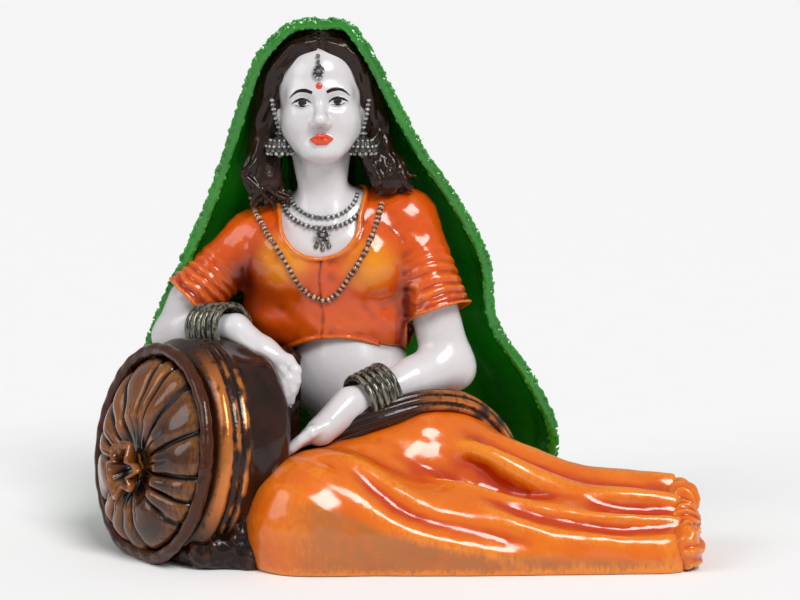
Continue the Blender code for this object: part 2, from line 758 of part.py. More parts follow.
def make_bangles(side, wrist, elbow, count):
    """Loose bangles in a row up the forearm, each one turned square to it."""
    along = (elbow - wrist).normalized()
    made = []
    for i in range(count):
        centre = wrist + along * (BANGLE_START + BANGLE_PITCH * i)
        bpy.ops.mesh.primitive_torus_add(
            major_segments=18, minor_segments=5, major_radius=bangle_ring(i) * MM,
            minor_radius=BANGLE_WIRE * MM, location=centre * MM,
            rotation=along.to_track_quat("Z", "Y").to_euler(),
        )
        bangle = bpy.context.object
        bangle.name = f"bangle_{side}_{i + 1}"
        move_to_parts(bangle)
        bangle.data.materials.append(material("silver"))
        bangle.data.shade_smooth()
        made.append(bangle)
    return made


def bangle_drum(name, wrist, elbow, count, radius, margin):
    """A hidden drum about the forearm, as long as the row of bangles and a margin at each end."""
    along = (elbow - wrist).normalized()
    first = BANGLE_START - margin
    last = BANGLE_START + BANGLE_PITCH * (count - 1) + margin
    bpy.ops.mesh.primitive_cylinder_add(vertices=24, radius=radius * MM, depth=(last - first) * MM)
    drum = bpy.context.object
    drum.name = name
    drum.data.transform(Matrix.Translation((wrist + along * (first + last) / 2) * MM) @ turned_to(along))
    return drum


def make_bangle_room(side, wrist, elbow, count):
    """The drum that holds all the bangles of one arm, which keeps what lies by them clear."""
    margin = BANGLE_WIRE + BOND_GAP
    return bangle_drum(f"bangle_room_{side}", wrist, elbow, count, bangle_ring(count - 1) + margin, margin)


def make_bangle_track(side, wrist, elbow, count):
    """The same drum, hollow, which keeps the arm itself clear of the bangles round it."""
    track = make_bangle_room(side, wrist, elbow, count)
    margin = BANGLE_WIRE + BOND_GAP
    bore = bangle_drum("bore", wrist, elbow, count, bangle_ring(0) - margin, 2 * margin)
    combine(track, bore, "DIFFERENCE")
    bpy.data.objects.remove(bore)
    return track


def make_choker(name, drop, reach, on):
    """A close chain across the base of the neck, its ends under the hair."""
    centre = NECK_BASE + place(-1, 0, 0)
    path = []
    for i in range(9):
        turn = math.radians(-80 + 160 * i / 8)
        lift = drop + 9 * (1 - math.cos(turn))
        path.append(Vector((centre.x + reach * math.sin(turn), 0, centre.z + lift)))
    points = laid_on(smooth_points(path, 20), on, CHOKER_WIRE + BOND_GAP + 0.25)
    return tube(name, "silver", points, CHOKER_WIRE, sides=1)


def make_pendant(on):
    """The pendant at the middle of the lower choker, with three drops."""
    top = laid_on([NECK_BASE + place(-1, 0, -6.5)], on, 2.0)[0]
    return sculpt("choker_pendant", "silver", [
        ball(top, (3.2, 1.4, 2.2)),
        limb((top, 1.3), (top + Vector((-2.2, 0, -3.8)), 0.9)),
        limb((top, 1.3), (top + Vector((0, 0, -4.6)), 1.0)),
        limb((top, 1.3), (top + Vector((2.2, 0, -3.8)), 0.9)),
    ], voxel=0.4, faces=180, smoothing=2)


def make_long_necklace(on):
    """The long chain that lies over the blouse and meets low on the breast."""
    path = [place(-54, 0, 125), place(-46, 0, 115), place(-40, 0, 106), place(-35, 0, 96), place(-29, 0, 90),
            place(-22, 0, 90.5), place(-15.5, 0, 99), place(-9.5, 0, 116), place(-7, 0, 127)]
    points = laid_on(smooth_points(path, 28), on, NECKLACE_WIRE + BOND_GAP + 0.5)
    return tube("long_necklace", "bead", points, NECKLACE_WIRE, sides=1)


def make_jhumka(side, centre):
    """A bell earring: a ball over a ribbed bell that opens downwards."""
    r = JHUMKA_RADIUS
    profile = [(0, 5.2), (1.1, 4.9), (1.6, 4.0), (1.1, 3.1), (0.36 * r, 2.4), (0.72 * r, 1.4), (0.92 * r, 0),
               (1.0 * r, -1.4), (1.0 * r, -2.4), (0.8 * r, -2.6), (0.55 * r, -3.4), (0, -3.6)]
    return turned(f"jhumka_{side}", "silver", profile, centre, steps=12)


def make_ear_chain(side, top, low):
    """The chain that takes the weight of the earring up over the ear."""
    points = smooth_points([top, (top + low) / 2 + Vector((0, -1.5, 0)), low], 10)
    return tube(f"ear_chain_{side}", "silver", points, 1.0, sides=1)


def make_tikka(on):
    """The forehead ornament that hangs from the parting."""
    top = laid_on([HEAD + Vector((0, 0, 12))], on, 1.4)[0]
    low = laid_on([HEAD + Vector((0, 0, 5.5))], on, 1.6)[0]
    return sculpt("maang_tikka", "silver", [
        limb((top, 1.0), (low, 1.2)),
        ball(low + Vector((0, -0.2, 0.6)), (2.1, 1.1, 2.6)),
    ], voxel=0.4, faces=150, smoothing=2)


def make_bindi(on):
    """The round mark between her brows, as a low dome."""
    spot = laid_on([HEAD + Vector((0, 0, 1.2))], on, 0.0)[0]
    work = bmesh.new()
    size = Vector((BINDI_RADIUS, 0.9, BINDI_RADIUS)) * MM
    shape = Matrix.Translation(spot * MM) @ Matrix.Diagonal((*size, 1))
    bmesh.ops.create_uvsphere(work, u_segments=12, v_segments=6, radius=1, matrix=shape)
    mesh = bpy.data.meshes.new("bindi")
    work.to_mesh(mesh)
    work.free()
    bindi = add_object("bindi", mesh, "vermilion")
    carve(bindi, on)
    return bindi


def settle():
    """Moves every body so that the middle of the whole figurine is over the origin."""
    bpy.context.view_layer.update()
    corners = [body.matrix_world @ Vector(corner) for body in PARTS.objects for corner in body.bound_box]
    middle = [(min(c[i] for c in corners) + max(c[i] for c in corners)) / 2 for i in range(2)]
    for body in PARTS.objects:
        body.location -= Vector((*middle, 0))


def clear_scene():
    for obj in list(bpy.data.objects):
        bpy.data.objects.remove(obj)


def main():
    clear_scene()
    for collection in (PARTS, CUTTERS):
        bpy.context.scene.collection.children.link(collection)
    CUTTERS.hide_render = True

    make_bangles("right", RIGHT_WRIST, RIGHT_ELBOW, RIGHT_BANGLES)
    make_bangles("left", LEFT_WRIST, LEFT_ELBOW, LEFT_BANGLES)
    bangle_rooms = [make_bangle_room("right", RIGHT_WRIST, RIGHT_ELBOW, RIGHT_BANGLES),
                    make_bangle_room("left", LEFT_WRIST, LEFT_ELBOW, LEFT_BANGLES)]
    torso = make_torso()
    cut_away(torso, ground_cutter())
    carve(torso, bangle_rooms)
    head = make_head()
    carve(head, [torso])
    right_arm = make_right_arm()
    left_arm = make_left_arm()
    for arm in (right_arm, left_arm):
        carve(arm, [torso])
    cut_away(right_arm, make_bangle_track("right", RIGHT_WRIST, RIGHT_ELBOW, RIGHT_BANGLES))
    cut_away(left_arm, make_bangle_track("left", LEFT_WRIST, LEFT_ELBOW, LEFT_BANGLES))
    carve(left_arm, [right_arm])

    bindi = make_bindi([head])
    tikka = make_tikka([head])
    jhumkas = [make_jhumka("right", HEAD + Vector((-14.5, -8.5, -19))),
               make_jhumka("left", HEAD + Vector((15.5, -8.5, -19)))]
    ear_chains = [
        make_ear_chain("right", HEAD + Vector((-17.5, -8.5, 1)), HEAD + Vector((-15, -9, -12.6))),
        make_ear_chain("left", HEAD + Vector((18, -8.5, 1)), HEAD + Vector((16, -9, -12.6))),
    ]
    chokers = [make_choker("choker_upper", -1.0, 12.5, [head, torso]),
               make_choker("choker_lower", -4.6, 14.5, [head, torso])]
    pendant = make_pendant([head, torso])
    jewellery = [bindi, tikka, pendant, *jhumkas, *ear_chains, *chokers]
    for chain in ear_chains:
        carve(chain, [head, *jhumkas])
    for jhumka in jhumkas:
        carve(jhumka, [head])
    carve(tikka, [head, bindi])
    carve(pendant, [torso, head, chokers[1]])
    for choker in chokers:
        carve(choker, [torso, head])
    carve(chokers[0], [chokers[1]])

    body = [torso, head, right_arm, left_arm, *bangle_rooms]
    hair = make_hair(body + jewellery)
    blouse = make_blouse(body + jewellery + [hair])
    necklace = make_long_necklace([blouse, torso, hair])
    carve(necklace, [blouse, torso, hair])

    skirt = make_skirt(body)
    hem = make_hem([skirt])
    bolster = make_bolster(body + [blouse, skirt])
    piping = make_piping([bolster, *body])
    cut_away(piping, ground_cutter())
    cap = make_end_cap([bolster, piping])
    cut_away(cap, ground_cutter())
    knot = make_knot([cap])
    seat = [bolster, piping, cap]
    sash = make_sash(body + seat + [skirt, blouse])
    throw = make_throw(body + seat + [skirt, sash, blouse])
    worn = [hair, blouse, skirt, sash, throw, knot]
    border = make_veil_border(body + seat + worn)
    make_veil(body + seat + worn + jewellery + [border, necklace, hem])
    for room in bangle_rooms:
        bpy.data.objects.remove(room)
    settle()


main()
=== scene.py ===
import math

import bmesh
import bpy
import numpy as np
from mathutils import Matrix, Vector


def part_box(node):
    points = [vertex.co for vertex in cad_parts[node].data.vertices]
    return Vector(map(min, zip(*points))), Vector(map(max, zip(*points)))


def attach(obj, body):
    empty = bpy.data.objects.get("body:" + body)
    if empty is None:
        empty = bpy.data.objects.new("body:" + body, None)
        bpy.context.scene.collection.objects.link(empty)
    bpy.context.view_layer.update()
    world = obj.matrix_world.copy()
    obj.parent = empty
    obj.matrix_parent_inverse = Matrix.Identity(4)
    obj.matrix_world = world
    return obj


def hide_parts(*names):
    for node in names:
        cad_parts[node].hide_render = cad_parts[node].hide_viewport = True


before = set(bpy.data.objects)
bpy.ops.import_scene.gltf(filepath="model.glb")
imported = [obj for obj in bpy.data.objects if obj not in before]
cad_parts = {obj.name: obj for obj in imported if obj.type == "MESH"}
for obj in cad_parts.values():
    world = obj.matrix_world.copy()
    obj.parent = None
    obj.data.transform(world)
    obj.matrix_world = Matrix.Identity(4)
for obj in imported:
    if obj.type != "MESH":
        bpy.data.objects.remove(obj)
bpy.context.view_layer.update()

MM = 0.001


# ---------------------------------------------------------------- places, in millimetres

def at(x, y, z):
    return np.array((x, y, z), np.float32)


HEAD = at(-29, 13, 163)
NECK_TOP = at(-29, 10, 144)
NECK_BASE = at(-27, 13, 119)
RIGHT_SHOULDER = at(-53, 15, 109)
LEFT_SHOULDER = at(2, 15, 115.5)
RIGHT_CUFF = at(-77, 9.5, 87)
LEFT_CUFF = at(13.5, 5, 83)
CHEST = at(-27, 17, 104)
WAIST = at(-20, 17, 74)
HIPS = at(-8, 12, 36)
RIGHT_ELBOW = at(-83, 12, 73.1)
RIGHT_WRIST = at(-59, -10, 79.1)
RIGHT_KNUCKLES = at(-43.5, -21, 65.6)
RIGHT_FINGERTIPS = at(-40.5, -24, 56.6)
LEFT_ELBOW = at(17.5, 4, 64)
LEFT_WRIST = at(-15.5, -19, 54)
LEFT_KNUCKLES = at(-28, -29, 45.5)
LEFT_FINGERTIPS = at(-39.5, -34, 39)
RIGHT_KNEE = at(-32, -39, 17)
LEFT_KNEE = at(48, -14, 17)

WRIST_RADIUS = 5.4
BANGLE_WIRE = 1.15
BANGLE_PITCH = 2.65
BANGLE_START = 1.6
BANGLE_SLACK = 2.2
BANGLE_WIDENS = 0.22

BOLSTER_RADIUS = 38.8
BOLSTER_LENGTH = 33.0
BOLSTER_FACE = at(-85.5, -27, 37.3)
BOLSTER_YAW = math.radians(55)
BOLSTER_LEAN = math.radians(9)
CAP_RADIUS = 33.6
CAP_PLEATS = 15
KNOT_DROP = 4.0
PIPING_RADIUS, PIPING_OUT, PIPING_PROUD = 2.3, 2.9, 2.7


def middle_of(node):
    low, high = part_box(node)
    return (np.array(low) + np.array(high)) / 2 / MM


def unit(direction):
    direction = np.asarray(direction, np.float32)
    return direction / np.linalg.norm(direction)


# The places above are written from a point a little off the frame's origin. The first bangle shows how far.
FIRST_BANGLE = RIGHT_WRIST + unit(RIGHT_ELBOW - RIGHT_WRIST) * BANGLE_START
SETTLED = (middle_of("bangle_right_1") - FIRST_BANGLE) * (1, 1, 0)


# ---------------------------------------------------------------- fields: distance to a form, negative inside

def ball(centre, radii):
    centre = np.asarray(centre, np.float32)
    radii = np.broadcast_to(np.asarray(radii, np.float32), 3)

    def field(p):
        q = (p - centre) / radii
        out = np.maximum(np.sqrt((q * q).sum(1)), 1e-3)
        slope = np.sqrt(((q / radii) ** 2).sum(1)) + 1e-6
        return out * (out - 1) / slope
    return field


def limb(*stations):
    def field(p):
        nearest = None
        for (start, thick), (end, thin) in zip(stations, stations[1:]):
            start = np.asarray(start, np.float32)
            run = np.asarray(end, np.float32) - start
            off = p - start
            along = np.clip(off @ run / (run @ run), 0, 1)
            gap = np.linalg.norm(off - along[:, None] * run, axis=1) - (thick + (thin - thick) * along)
            nearest = gap if nearest is None else np.minimum(nearest, gap)
        return nearest
    return field


def soft_min(a, b, soft):
    share = np.clip(0.5 + 0.5 * (b - a) / soft, 0, 1)
    return b + (a - b) * share - soft * share * (1 - share)


def blend(soft, *fields):
    """All the fields as one form, with fillets of about this size."""
    def field(p):
        whole = fields[0](p)
        for other in fields[1:]:
            whole = soft_min(whole, other(p), soft)
        return whole
    return field


def without(soft, field, *cutters):
    def cut(p):
        left = field(p)
        for cutter in cutters:
            left = -soft_min(-left, cutter(p), soft)
        return left
    return cut


def grown(field, by):
    return lambda p: field(p) - by


def plane(point, outwards):
    """Everything behind the plane is inside."""
    point, outwards = np.asarray(point, np.float32), unit(outwards)
    return lambda p: (p - point) @ outwards


def both(*fields):
    """What lies in all the fields."""
    return lambda p: np.maximum.reduce([field(p) for field in fields])


def piping(field, other, radius):
    """A round cord along the line where the skins of two forms meet."""
    return lambda p: np.hypot(field(p), other(p)) - radius


def waves(p, length, seed=0):
    """Smooth lumps of about this length, between -1 and 1."""
    draw = np.random.default_rng(seed)
    total = np.zeros(len(p), np.float32)
    for _ in range(6):
        way = unit(draw.normal(size=3)) * np.float32(2 * math.pi / length * draw.uniform(0.6, 1.4))
        total += np.sin(p @ way + np.float32(draw.uniform(0, 6.28)))
    return total / 3.2


def step_up(x, low, high):
    t = np.clip((x - low) / (high - low), 0, 1)
    return t * t * (3 - 2 * t)


# ---------------------------------------------------------------- meshes

POINTS_AT_ONCE = 200_000


def skin_of(field, low, high, step):
    """(points, quads) of the field's zero skin between two corners, with a point in each cell it crosses."""
    low = np.asarray(low, np.float32)
    coarse = 4  # the field is first read at every fourth point, and then only near its skin
    size = np.ceil((np.asarray(high) - low) / step / coarse).astype(int) * coarse
    spots = [low[i] + step * coarse * np.arange(size[i] // coarse + 1, dtype=np.float32) for i in range(3)]
    points = np.stack(np.meshgrid(*spots, indexing="ij"), -1).reshape(-1, 3)
    rough = field(points).reshape([len(s) for s in spots]).astype(np.float32)
    values = rough
    for axis in range(3):
        values = np.repeat(values, coarse, axis=axis)
    values = values[tuple(slice(coarse // 2, coarse // 2 + n + 1) for n in size)]
    values = np.pad(values, [(0, n + 1 - m) for n, m in zip(size, values.shape)], mode="edge").copy()
    near = np.argwhere(np.abs(values) < 1.1 * step * coarse + 1.0)
    for start in range(0, len(near), POINTS_AT_ONCE):
        part = near[start:start + POINTS_AT_ONCE]
        values[tuple(part.T)] = field((low + part * step).astype(np.float32))
    inside = values < 0
    corners = [(i, j, k) for i in (0, 1) for j in (0, 1) for k in (0, 1)]

    def shifted(array, corner):
        return array[tuple(slice(c, n - 1 + c) for c, n in zip(corner, array.shape))]

    count = sum(shifted(inside, c).astype(np.int8) for c in corners)
    cells = np.argwhere((count > 0) & (count < 8))
    number = np.full(count.shape, -1, np.int32)
    number[tuple(cells.T)] = np.arange(len(cells))
    worth = {c: values[tuple((cells + c).T)] for c in corners}
    total = np.zeros((len(cells), 3))
    crossings = np.zeros(len(cells))
    for a in corners:
        for axis in range(3):
            if a[axis]:
                continue
            b = tuple(1 if i == axis else a[i] for i in range(3))
            crossed = (worth[a] < 0) != (worth[b] < 0)
            share = np.where(crossed, worth[a] / (worth[a] - worth[b] + 1e-12), 0)
            spot = np.array(a, float) + share[:, None] * (np.array(b) - np.array(a))
            total += np.where(crossed[:, None], spot, 0)
            crossings += crossed
    verts = low + (cells + total / crossings[:, None]) * step
    quads = []
    for axis in range(3):
        one, two = (axis + 1) % 3, (axis + 2) % 3
        lower = [slice(None)] * 3
        upper = [slice(None)] * 3
        lower[axis], upper[axis] = slice(0, -1), slice(1, None)
        start, end = inside[tuple(lower)], inside[tuple(upper)]
        edges = np.argwhere(start != end)
        edges = edges[(edges[:, one] > 0) & (edges[:, two] > 0)]
        edges = edges[(edges[:, one] < number.shape[one]) & (edges[:, two] < number.shape[two])]
        ring = []
        for back_one, back_two in ((1, 1), (0, 1), (0, 0), (1, 0)):
            cell = edges.copy()
            cell[:, one] -= back_one
            cell[:, two] -= back_two
            ring.append(number[tuple(cell.T)])
        ring = np.stack(ring, 1)
        flip = ~start[tuple(edges.T)]
        ring[flip] = ring[flip][:, ::-1]
        quads.append(ring)
    return verts, np.concatenate(quads)


def loft(loops, closed=False):
    """(points, quads) of a skin through loops of equal length. Open ends are closed with a flat fan."""
    loops = np.asarray(loops, float)
    rows, count = loops.shape[:2]
    index = np.arange(rows * count).reshape(rows, count)
    after = np.roll(index, -1, axis=1)
    last = rows if closed else rows - 1
    above = np.roll(index, -1, axis=0)
    after_above = np.roll(after, -1, axis=0)
    quads = np.stack([index[:last], after[:last], after_above[:last], above[:last]], -1).reshape(-1, 4)
    points = loops.reshape(-1, 3)
    if not closed:
        ends = np.array([loops[0].mean(0), loops[-1].mean(0)])
        hubs = (len(points), len(points) + 1)
        points = np.concatenate([points, ends])
        for row, hub in ((0, hubs[0]), (rows - 1, hubs[1])):
            fan = np.stack([np.full(count, hub), after[row], index[row], index[row]], 1)
            quads = np.concatenate([quads, fan if row == 0 else fan[:, [0, 2, 1, 1]]])
    return points, quads


def joined(*shapes):
    points, quads, start = [], [], 0
    for verts, faces in shapes:
        points.append(verts)
        quads.append(np.asarray(faces) + start)
        start += len(verts)
    return np.concatenate(points), np.concatenate(quads)


def smooth_line(stations, count):
    """Points along a Catmull-Rom curve through the stations."""
    p = np.asarray(stations, float)
    p = np.concatenate([2 * p[:1] - p[1:2], p, 2 * p[-1:] - p[-2:-1]])
    stretches = len(p) - 3
    where = np.linspace(0, stretches, count)
    k = np.minimum(where.astype(int), stretches - 1)
    t = (where - k)[:, None]
    a, b, c, d = p[k], p[k + 1], p[k + 2], p[k + 3]
    return 0.5 * (2 * b + (c - a) * t + (2 * a - 5 * b + 4 * c - d) * t ** 2
                  + (3 * b - a - 3 * c + d) * t ** 3)


def evenly(line, gap):
    """Points along the line, one at every gap of its length."""
    walked = np.concatenate([[0], np.cumsum(np.linalg.norm(np.diff(line, axis=0), axis=1))])
    even = np.arange(0, walked[-1], gap)
    return np.stack([np.interp(even, walked, line[:, i]) for i in range(3)], 1)


def circle(count):
    return np.linspace(0, 2 * math.pi, count, endpoint=False)


def tube(path, radius, sides=12, closed=False, up=(0, 0, 1), ribs=None):
    """A round tube along the path. radius may vary from point to point, and ribs(turn, along) scales it."""
    path = np.asarray(path, float)
    count = len(path)
    if closed:
        run = np.roll(path, -1, 0) - np.roll(path, 1, 0)
    else:
        run = np.gradient(path, axis=0)
    run /= np.linalg.norm(run, axis=1)[:, None] + 1e-9
    side = np.cross(run, np.asarray(up, float))
    side /= np.linalg.norm(side, axis=1)[:, None] + 1e-9
    rise = np.cross(side, run)
    turn = circle(sides)
    reach = np.broadcast_to(np.asarray(radius, float), count)[:, None] * np.ones((count, sides))
    if ribs:
        reach = reach * ribs(turn[None, :], np.arange(count)[:, None] / count)
    ways = side[:, None] * np.cos(turn)[None, :, None] + rise[:, None] * np.sin(turn)[None, :, None]
    return loft(path[:, None] + ways * reach[..., None], closed)


def bead(centre, radii, rings=6, sides=10, axis=(0, 0, 1)):
    """A small ball with its own radius along each axis."""
    radii = np.broadcast_to(np.asarray(radii, float), 3)
    axis = unit(axis)
    aside = unit(np.cross(axis, (0.3, 1, 0.2)))
    third = np.cross(axis, aside)
    turn = circle(sides)[:, None]
    ring = aside * np.cos(turn) * radii[0] + third * np.sin(turn) * radii[1]
    leans = [math.pi * (i + 0.5) / rings for i in range(rings)]
    return loft([np.asarray(centre) + ring * math.sin(lean) - axis * math.cos(lean) * radii[2]
                 for lean in leans])


def ring_of(centre, count, radius_one, radius_two, one, two, size, *shape):
    """Small balls round a centre, in the plane of the directions one and two."""
    turns = [2 * math.pi * i / count for i in range(count)]
    return [bead(centre + one * radius_one * math.cos(turn) + two * radius_two * math.sin(turn), size, *shape)
            for turn in turns]


def onto(field, points, way, clearance=0.0):
    """The points moved along way until they touch the form, and then back by the clearance."""
    way = unit(way)
    spots = np.asarray(points, np.float32).copy()
    for _ in range(60):
        spots += way * np.minimum(field(spots) * 0.7, 8)[:, None]
    return spots - way * clearance


def to_object(name, shape):
    points, quads = shape
    mesh = bpy.data.meshes.new(name)
    bm_faces = []
    for quad in np.asarray(quads).tolist():
        bm_faces.append(quad[:3] if quad[2] == quad[3] else quad)
    mesh.from_pydata(((np.asarray(points) + SETTLED) * MM).tolist(), [], bm_faces)
    work = bmesh.new()
    work.from_mesh(mesh)
    bmesh.ops.recalc_face_normals(work, faces=work.faces)
    work.to_mesh(mesh)
    work.free()
    made = bpy.data.objects.new(name, mesh)
    bpy.context.scene.collection.objects.link(made)
    return made


def fused(obj, voxel, smoothing=2):
    """One closed skin over everything in the object, softened."""
    skin = obj.modifiers.new("skin", "REMESH")
    skin.mode = "VOXEL"
    skin.voxel_size = voxel * MM
    soften = obj.modifiers.new("soften", "SMOOTH")
    soften.iterations = smoothing
    bpy.context.view_layer.update()
    mesh = bpy.data.meshes.new_from_object(obj.evaluated_get(bpy.context.evaluated_depsgraph_get()))
    obj.modifiers.clear()
    obj.data = mesh
    return obj


def read_points(mesh):
    flat = np.empty(len(mesh.vertices) * 3, np.float32)
    mesh.vertices.foreach_get("co", flat)
    return flat.reshape(-1, 3) / np.float32(MM) - SETTLED.astype(np.float32)


def write_value(mesh, name, values):
    layer = mesh.attributes.new(name, "FLOAT", "POINT")
    layer.data.foreach_set("value", np.asarray(values, np.float32))


def write_hollows(mesh, rounds, reach):
    """Stores how far each point lies in a hollow (above zero) or stands proud (below zero)."""
    count = len(mesh.vertices)
    points = read_points(mesh)
    pairs = np.empty(len(mesh.edges) * 2, np.int32)
    mesh.edges.foreach_get("vertices", pairs)
    one, two = pairs[0::2], pairs[1::2]
    ends, others = np.concatenate([one, two]), np.concatenate([two, one])
    shares = np.maximum(np.bincount(ends, minlength=count), 1)
    level = points.astype(float)
    for _ in range(rounds):
        sums = [np.bincount(ends, level[others, i], count) for i in range(3)]
        level = np.stack(sums, 1) / shares[:, None]
    normals = np.empty(count * 3, np.float32)
    mesh.vertices.foreach_get("normal", normals)
    write_value(mesh, "hollow", np.clip(((level - points) * normals.reshape(-1, 3)).sum(1) / reach, -1, 1))


def piece(obj, paint, nodes, slot, rounds=10, reach=0.5, stain=(), masks=None):
    """Finishes a piece: its shading and paint, the wash and painted shade in its hollows, the painted shade
    by its neighbours, and the CAD nodes it stands for.
    """
    mesh = obj.data
    mesh.shade_smooth()
    mesh.materials.clear()
    mesh.materials.append(paint)
    write_hollows(mesh, rounds, reach)
    points = read_points(mesh)
    # Painted shade where another form comes close.
    dark = np.zeros(len(points), np.float32)
    for field, width in stain:
        dark = np.maximum(dark, np.exp(-np.maximum(field(points), 0) / width))
    write_value(mesh, "stain", dark)
    for name, mask in (masks or {}).items():
        write_value(mesh, name, mask(points))
    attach(obj, "root")
    if nodes:
        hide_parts(*nodes)


def cast(name, field, low, high, step, *finish, **more):
    """A piece that is the skin of a field between two corners."""
    piece(to_object(name, skin_of(field, low, high, step)), *finish, **more)


def trim(name, shapes, voxel, *finish, rounds=4, reach=0.2):
    """A piece of small shapes run together."""
    piece(fused(to_object(name, joined(*shapes)), voxel, 1), *finish, rounds=rounds, reach=reach)


# ---------------------------------------------------------------- paints

class Nodes:
    """Short ways to add and link the nodes of one material."""

    def __init__(self, name):
        self.material = bpy.data.materials.new(name)
        self.material.use_nodes = True
        self.tree = self.material.node_tree
        self.shader = self.tree.nodes["Principled BSDF"]
        self.place = self.tree.nodes.new("ShaderNodeTexCoord").outputs["Object"]

    def add(self, kind, links=(), **settings):
        node = self.tree.nodes.new(kind)
        for name, value in settings.items():
            setattr(node, name, value)
        for socket, value in dict(links).items():
            self.put(node.inputs[socket], value)
        return node

    def put(self, socket, value):
        if isinstance(value, bpy.types.NodeSocket):
            self.tree.links.new(value, socket)
        else:
            socket.default_value = value

    def value(self, name):
        return self.add("ShaderNodeAttribute", attribute_name=name).outputs["Fac"]

    def noise(self, scale, detail=3.0, roughness=0.55, stretch=None):
        vector = self.place
        if stretch:
            vector = self.add("ShaderNodeMapping", {"Vector": vector, "Scale": stretch}).outputs["Vector"]
        return self.add("ShaderNodeTexNoise", {"Vector": vector, "Scale": scale, "Detail": detail,
                                               "Roughness": roughness}).outputs["Fac"]

    def ranged(self, value, low, high, to_low=0.0, to_high=1.0):
        node = self.add("ShaderNodeMapRange", {"Value": value, "From Min": low, "From Max": high,
                                               "To Min": to_low, "To Max": to_high})
        return node.outputs["Result"]

    def math(self, operation, a, b=0.0):
        node = self.add("ShaderNodeMath", operation=operation)
        self.put(node.inputs[0], a)
        self.put(node.inputs[1], b)
        return node.outputs["Value"]

    def mix(self, share, a, b):
        node = self.add("ShaderNodeMix", data_type="RGBA")
        self.put(node.inputs[0], share)
        self.put(node.inputs[6], a if isinstance(a, bpy.types.NodeSocket) else (*a, 1))
        self.put(node.inputs[7], b if isinstance(b, bpy.types.NodeSocket) else (*b, 1))
        return node.outputs[2]

    def bump(self, height, distance, strength=1.0, onto_normal=None):
        node = self.add("ShaderNodeBump", {"Height": height, "Distance": distance, "Strength": strength})
        if onto_normal:
            self.put(node.inputs["Normal"], onto_normal)
        return node.outputs["Normal"]

    def finish(self, **sockets):
        for name, value in sockets.items():
            self.put(self.shader.inputs[name.replace("_", " ").title().replace("Ior", "IOR")], value)
        return self.material


def enamel(name, colour, shade, hollow, proud, patch=None, rough=(0.1, 0.3), coat=0.7, wash_and_shade=(0.15, 0.8),
           rub_and_highlight=(0.25, 0.9), metal=0.0, pits=0.00012, patch_scale=70, extra=None, rub_where=None, shine=0.5):
    """A brushed paint under a clear coat. shade drifts through colour, hollow is a dark wash with painted
    shade in the grooves and painted shade by the neighbours, and proud is a painted highlight on the raised
    places, partly rubbed metal on the metal paints."""
    n = Nodes(name)
    drift = n.ranged(n.noise(patch_scale, 4.0), 0.35, 0.7)
    base = n.mix(drift, colour, shade)
    if patch:
        cover = n.ranged(n.noise(160, 3.0), 0.1, 0.5, 0.3)
        base = n.mix(n.math("MULTIPLY", n.value("patch"), cover), base, patch)
    if extra:
        base = n.mix(n.value("extra"), base, extra)
    depth = n.value("hollow")
    grooves = n.ranged(n.math("ADD", depth, n.math("MULTIPLY", n.noise(500, 2.0), 0.15)), *wash_and_shade)
    brushed = n.noise(900, 2.0, stretch=(1.0, 1.0, 0.35))
    raised = n.math("MULTIPLY", depth, -1.0)
    ridges = n.ranged(n.math("MULTIPLY", raised, n.ranged(brushed, 0.3, 0.6, 0.5, 1.4)), *rub_and_highlight)
    if rub_where:
        broken = n.ranged(n.math("ADD", ridges, n.noise(420, 4.0)), 0.45, 0.95)
        ridges = n.math("MULTIPLY", n.value(rub_where), broken)
    # Painted highlight on the raised places, then the wash and painted shade in the hollows and by the
    # neighbours.
    base = n.mix(ridges, base, proud)
    base = n.mix(n.math("MAXIMUM", grooves, n.value("stain")), base, hollow)
    fine = n.bump(n.noise(1500, 2.0), pits, 0.6)
    normal = n.bump(n.noise(260, 3.0), pits * 4, 0.5, fine)
    if metal:
        n.finish(metallic=n.math("MULTIPLY", ridges, metal))
    gloss = n.ranged(n.noise(210, 3.0), 0.3, 0.75, *rough)
    return n.finish(base_color=base, roughness=gloss, normal=normal, coat_weight=coat, coat_roughness=0.06,
                    coat_ior=1.5, specular_ior_level=shine)


# Each with its four colours: colour, shade, hollow (dark wash and painted shade) and proud (painted
# highlight).
SKIN = enamel(
    "pearl_white_enamel", (0.66, 0.635, 0.645), (0.60, 0.57, 0.58), (0.22, 0.17, 0.15), (0.74, 0.72, 0.73),
    rough=(0.2, 0.32), wash_and_shade=(0.4, 1.5), rub_and_highlight=(0.5, 1.2), pits=0.00004, coat=0.35, shine=0.4)
HAIR = enamel(
    "near_black_brown_enamel", (0.013, 0.005, 0.003), (0.026, 0.009, 0.004), (0.002, 0.001, 0.001),
    (0.10, 0.028, 0.010), rough=(0.12, 0.3), pits=0.00018, coat=0.3, rub_and_highlight=(0.5, 1.5), shine=0.2)
# Its patch colour is a painted highlight on the front of the bust.
ORANGE = enamel(
    "orange_enamel", (0.68, 0.092, 0.003), (0.60, 0.062, 0.003), (0.13, 0.010, 0.002), (0.74, 0.17, 0.010),
    patch=(0.76, 0.25, 0.006), extra=(0.42, 0.026, 0.003), pits=0.00006, wash_and_shade=(0.1, 0.8), coat=0.4, shine=0.4)
SKIRT_ORANGE = enamel(
    "warm_orange_enamel", (0.72, 0.155, 0.005), (0.66, 0.115, 0.004), (0.50, 0.040, 0.002),
    (0.76, 0.22, 0.012), patch=(0.42, 0.125, 0.024), pits=0.00005, wash_and_shade=(0.05, 0.6), coat=0.45, shine=0.4)
GREEN = enamel(
    "green_enamel", (0.004, 0.185, 0.004), (0.008, 0.27, 0.007), (0.002, 0.05, 0.002), (0.02, 0.40, 0.012),
    patch=(0.012, 0.42, 0.010), pits=0.0001, coat=0.7, patch_scale=45, wash_and_shade=(0.6, 1.6))
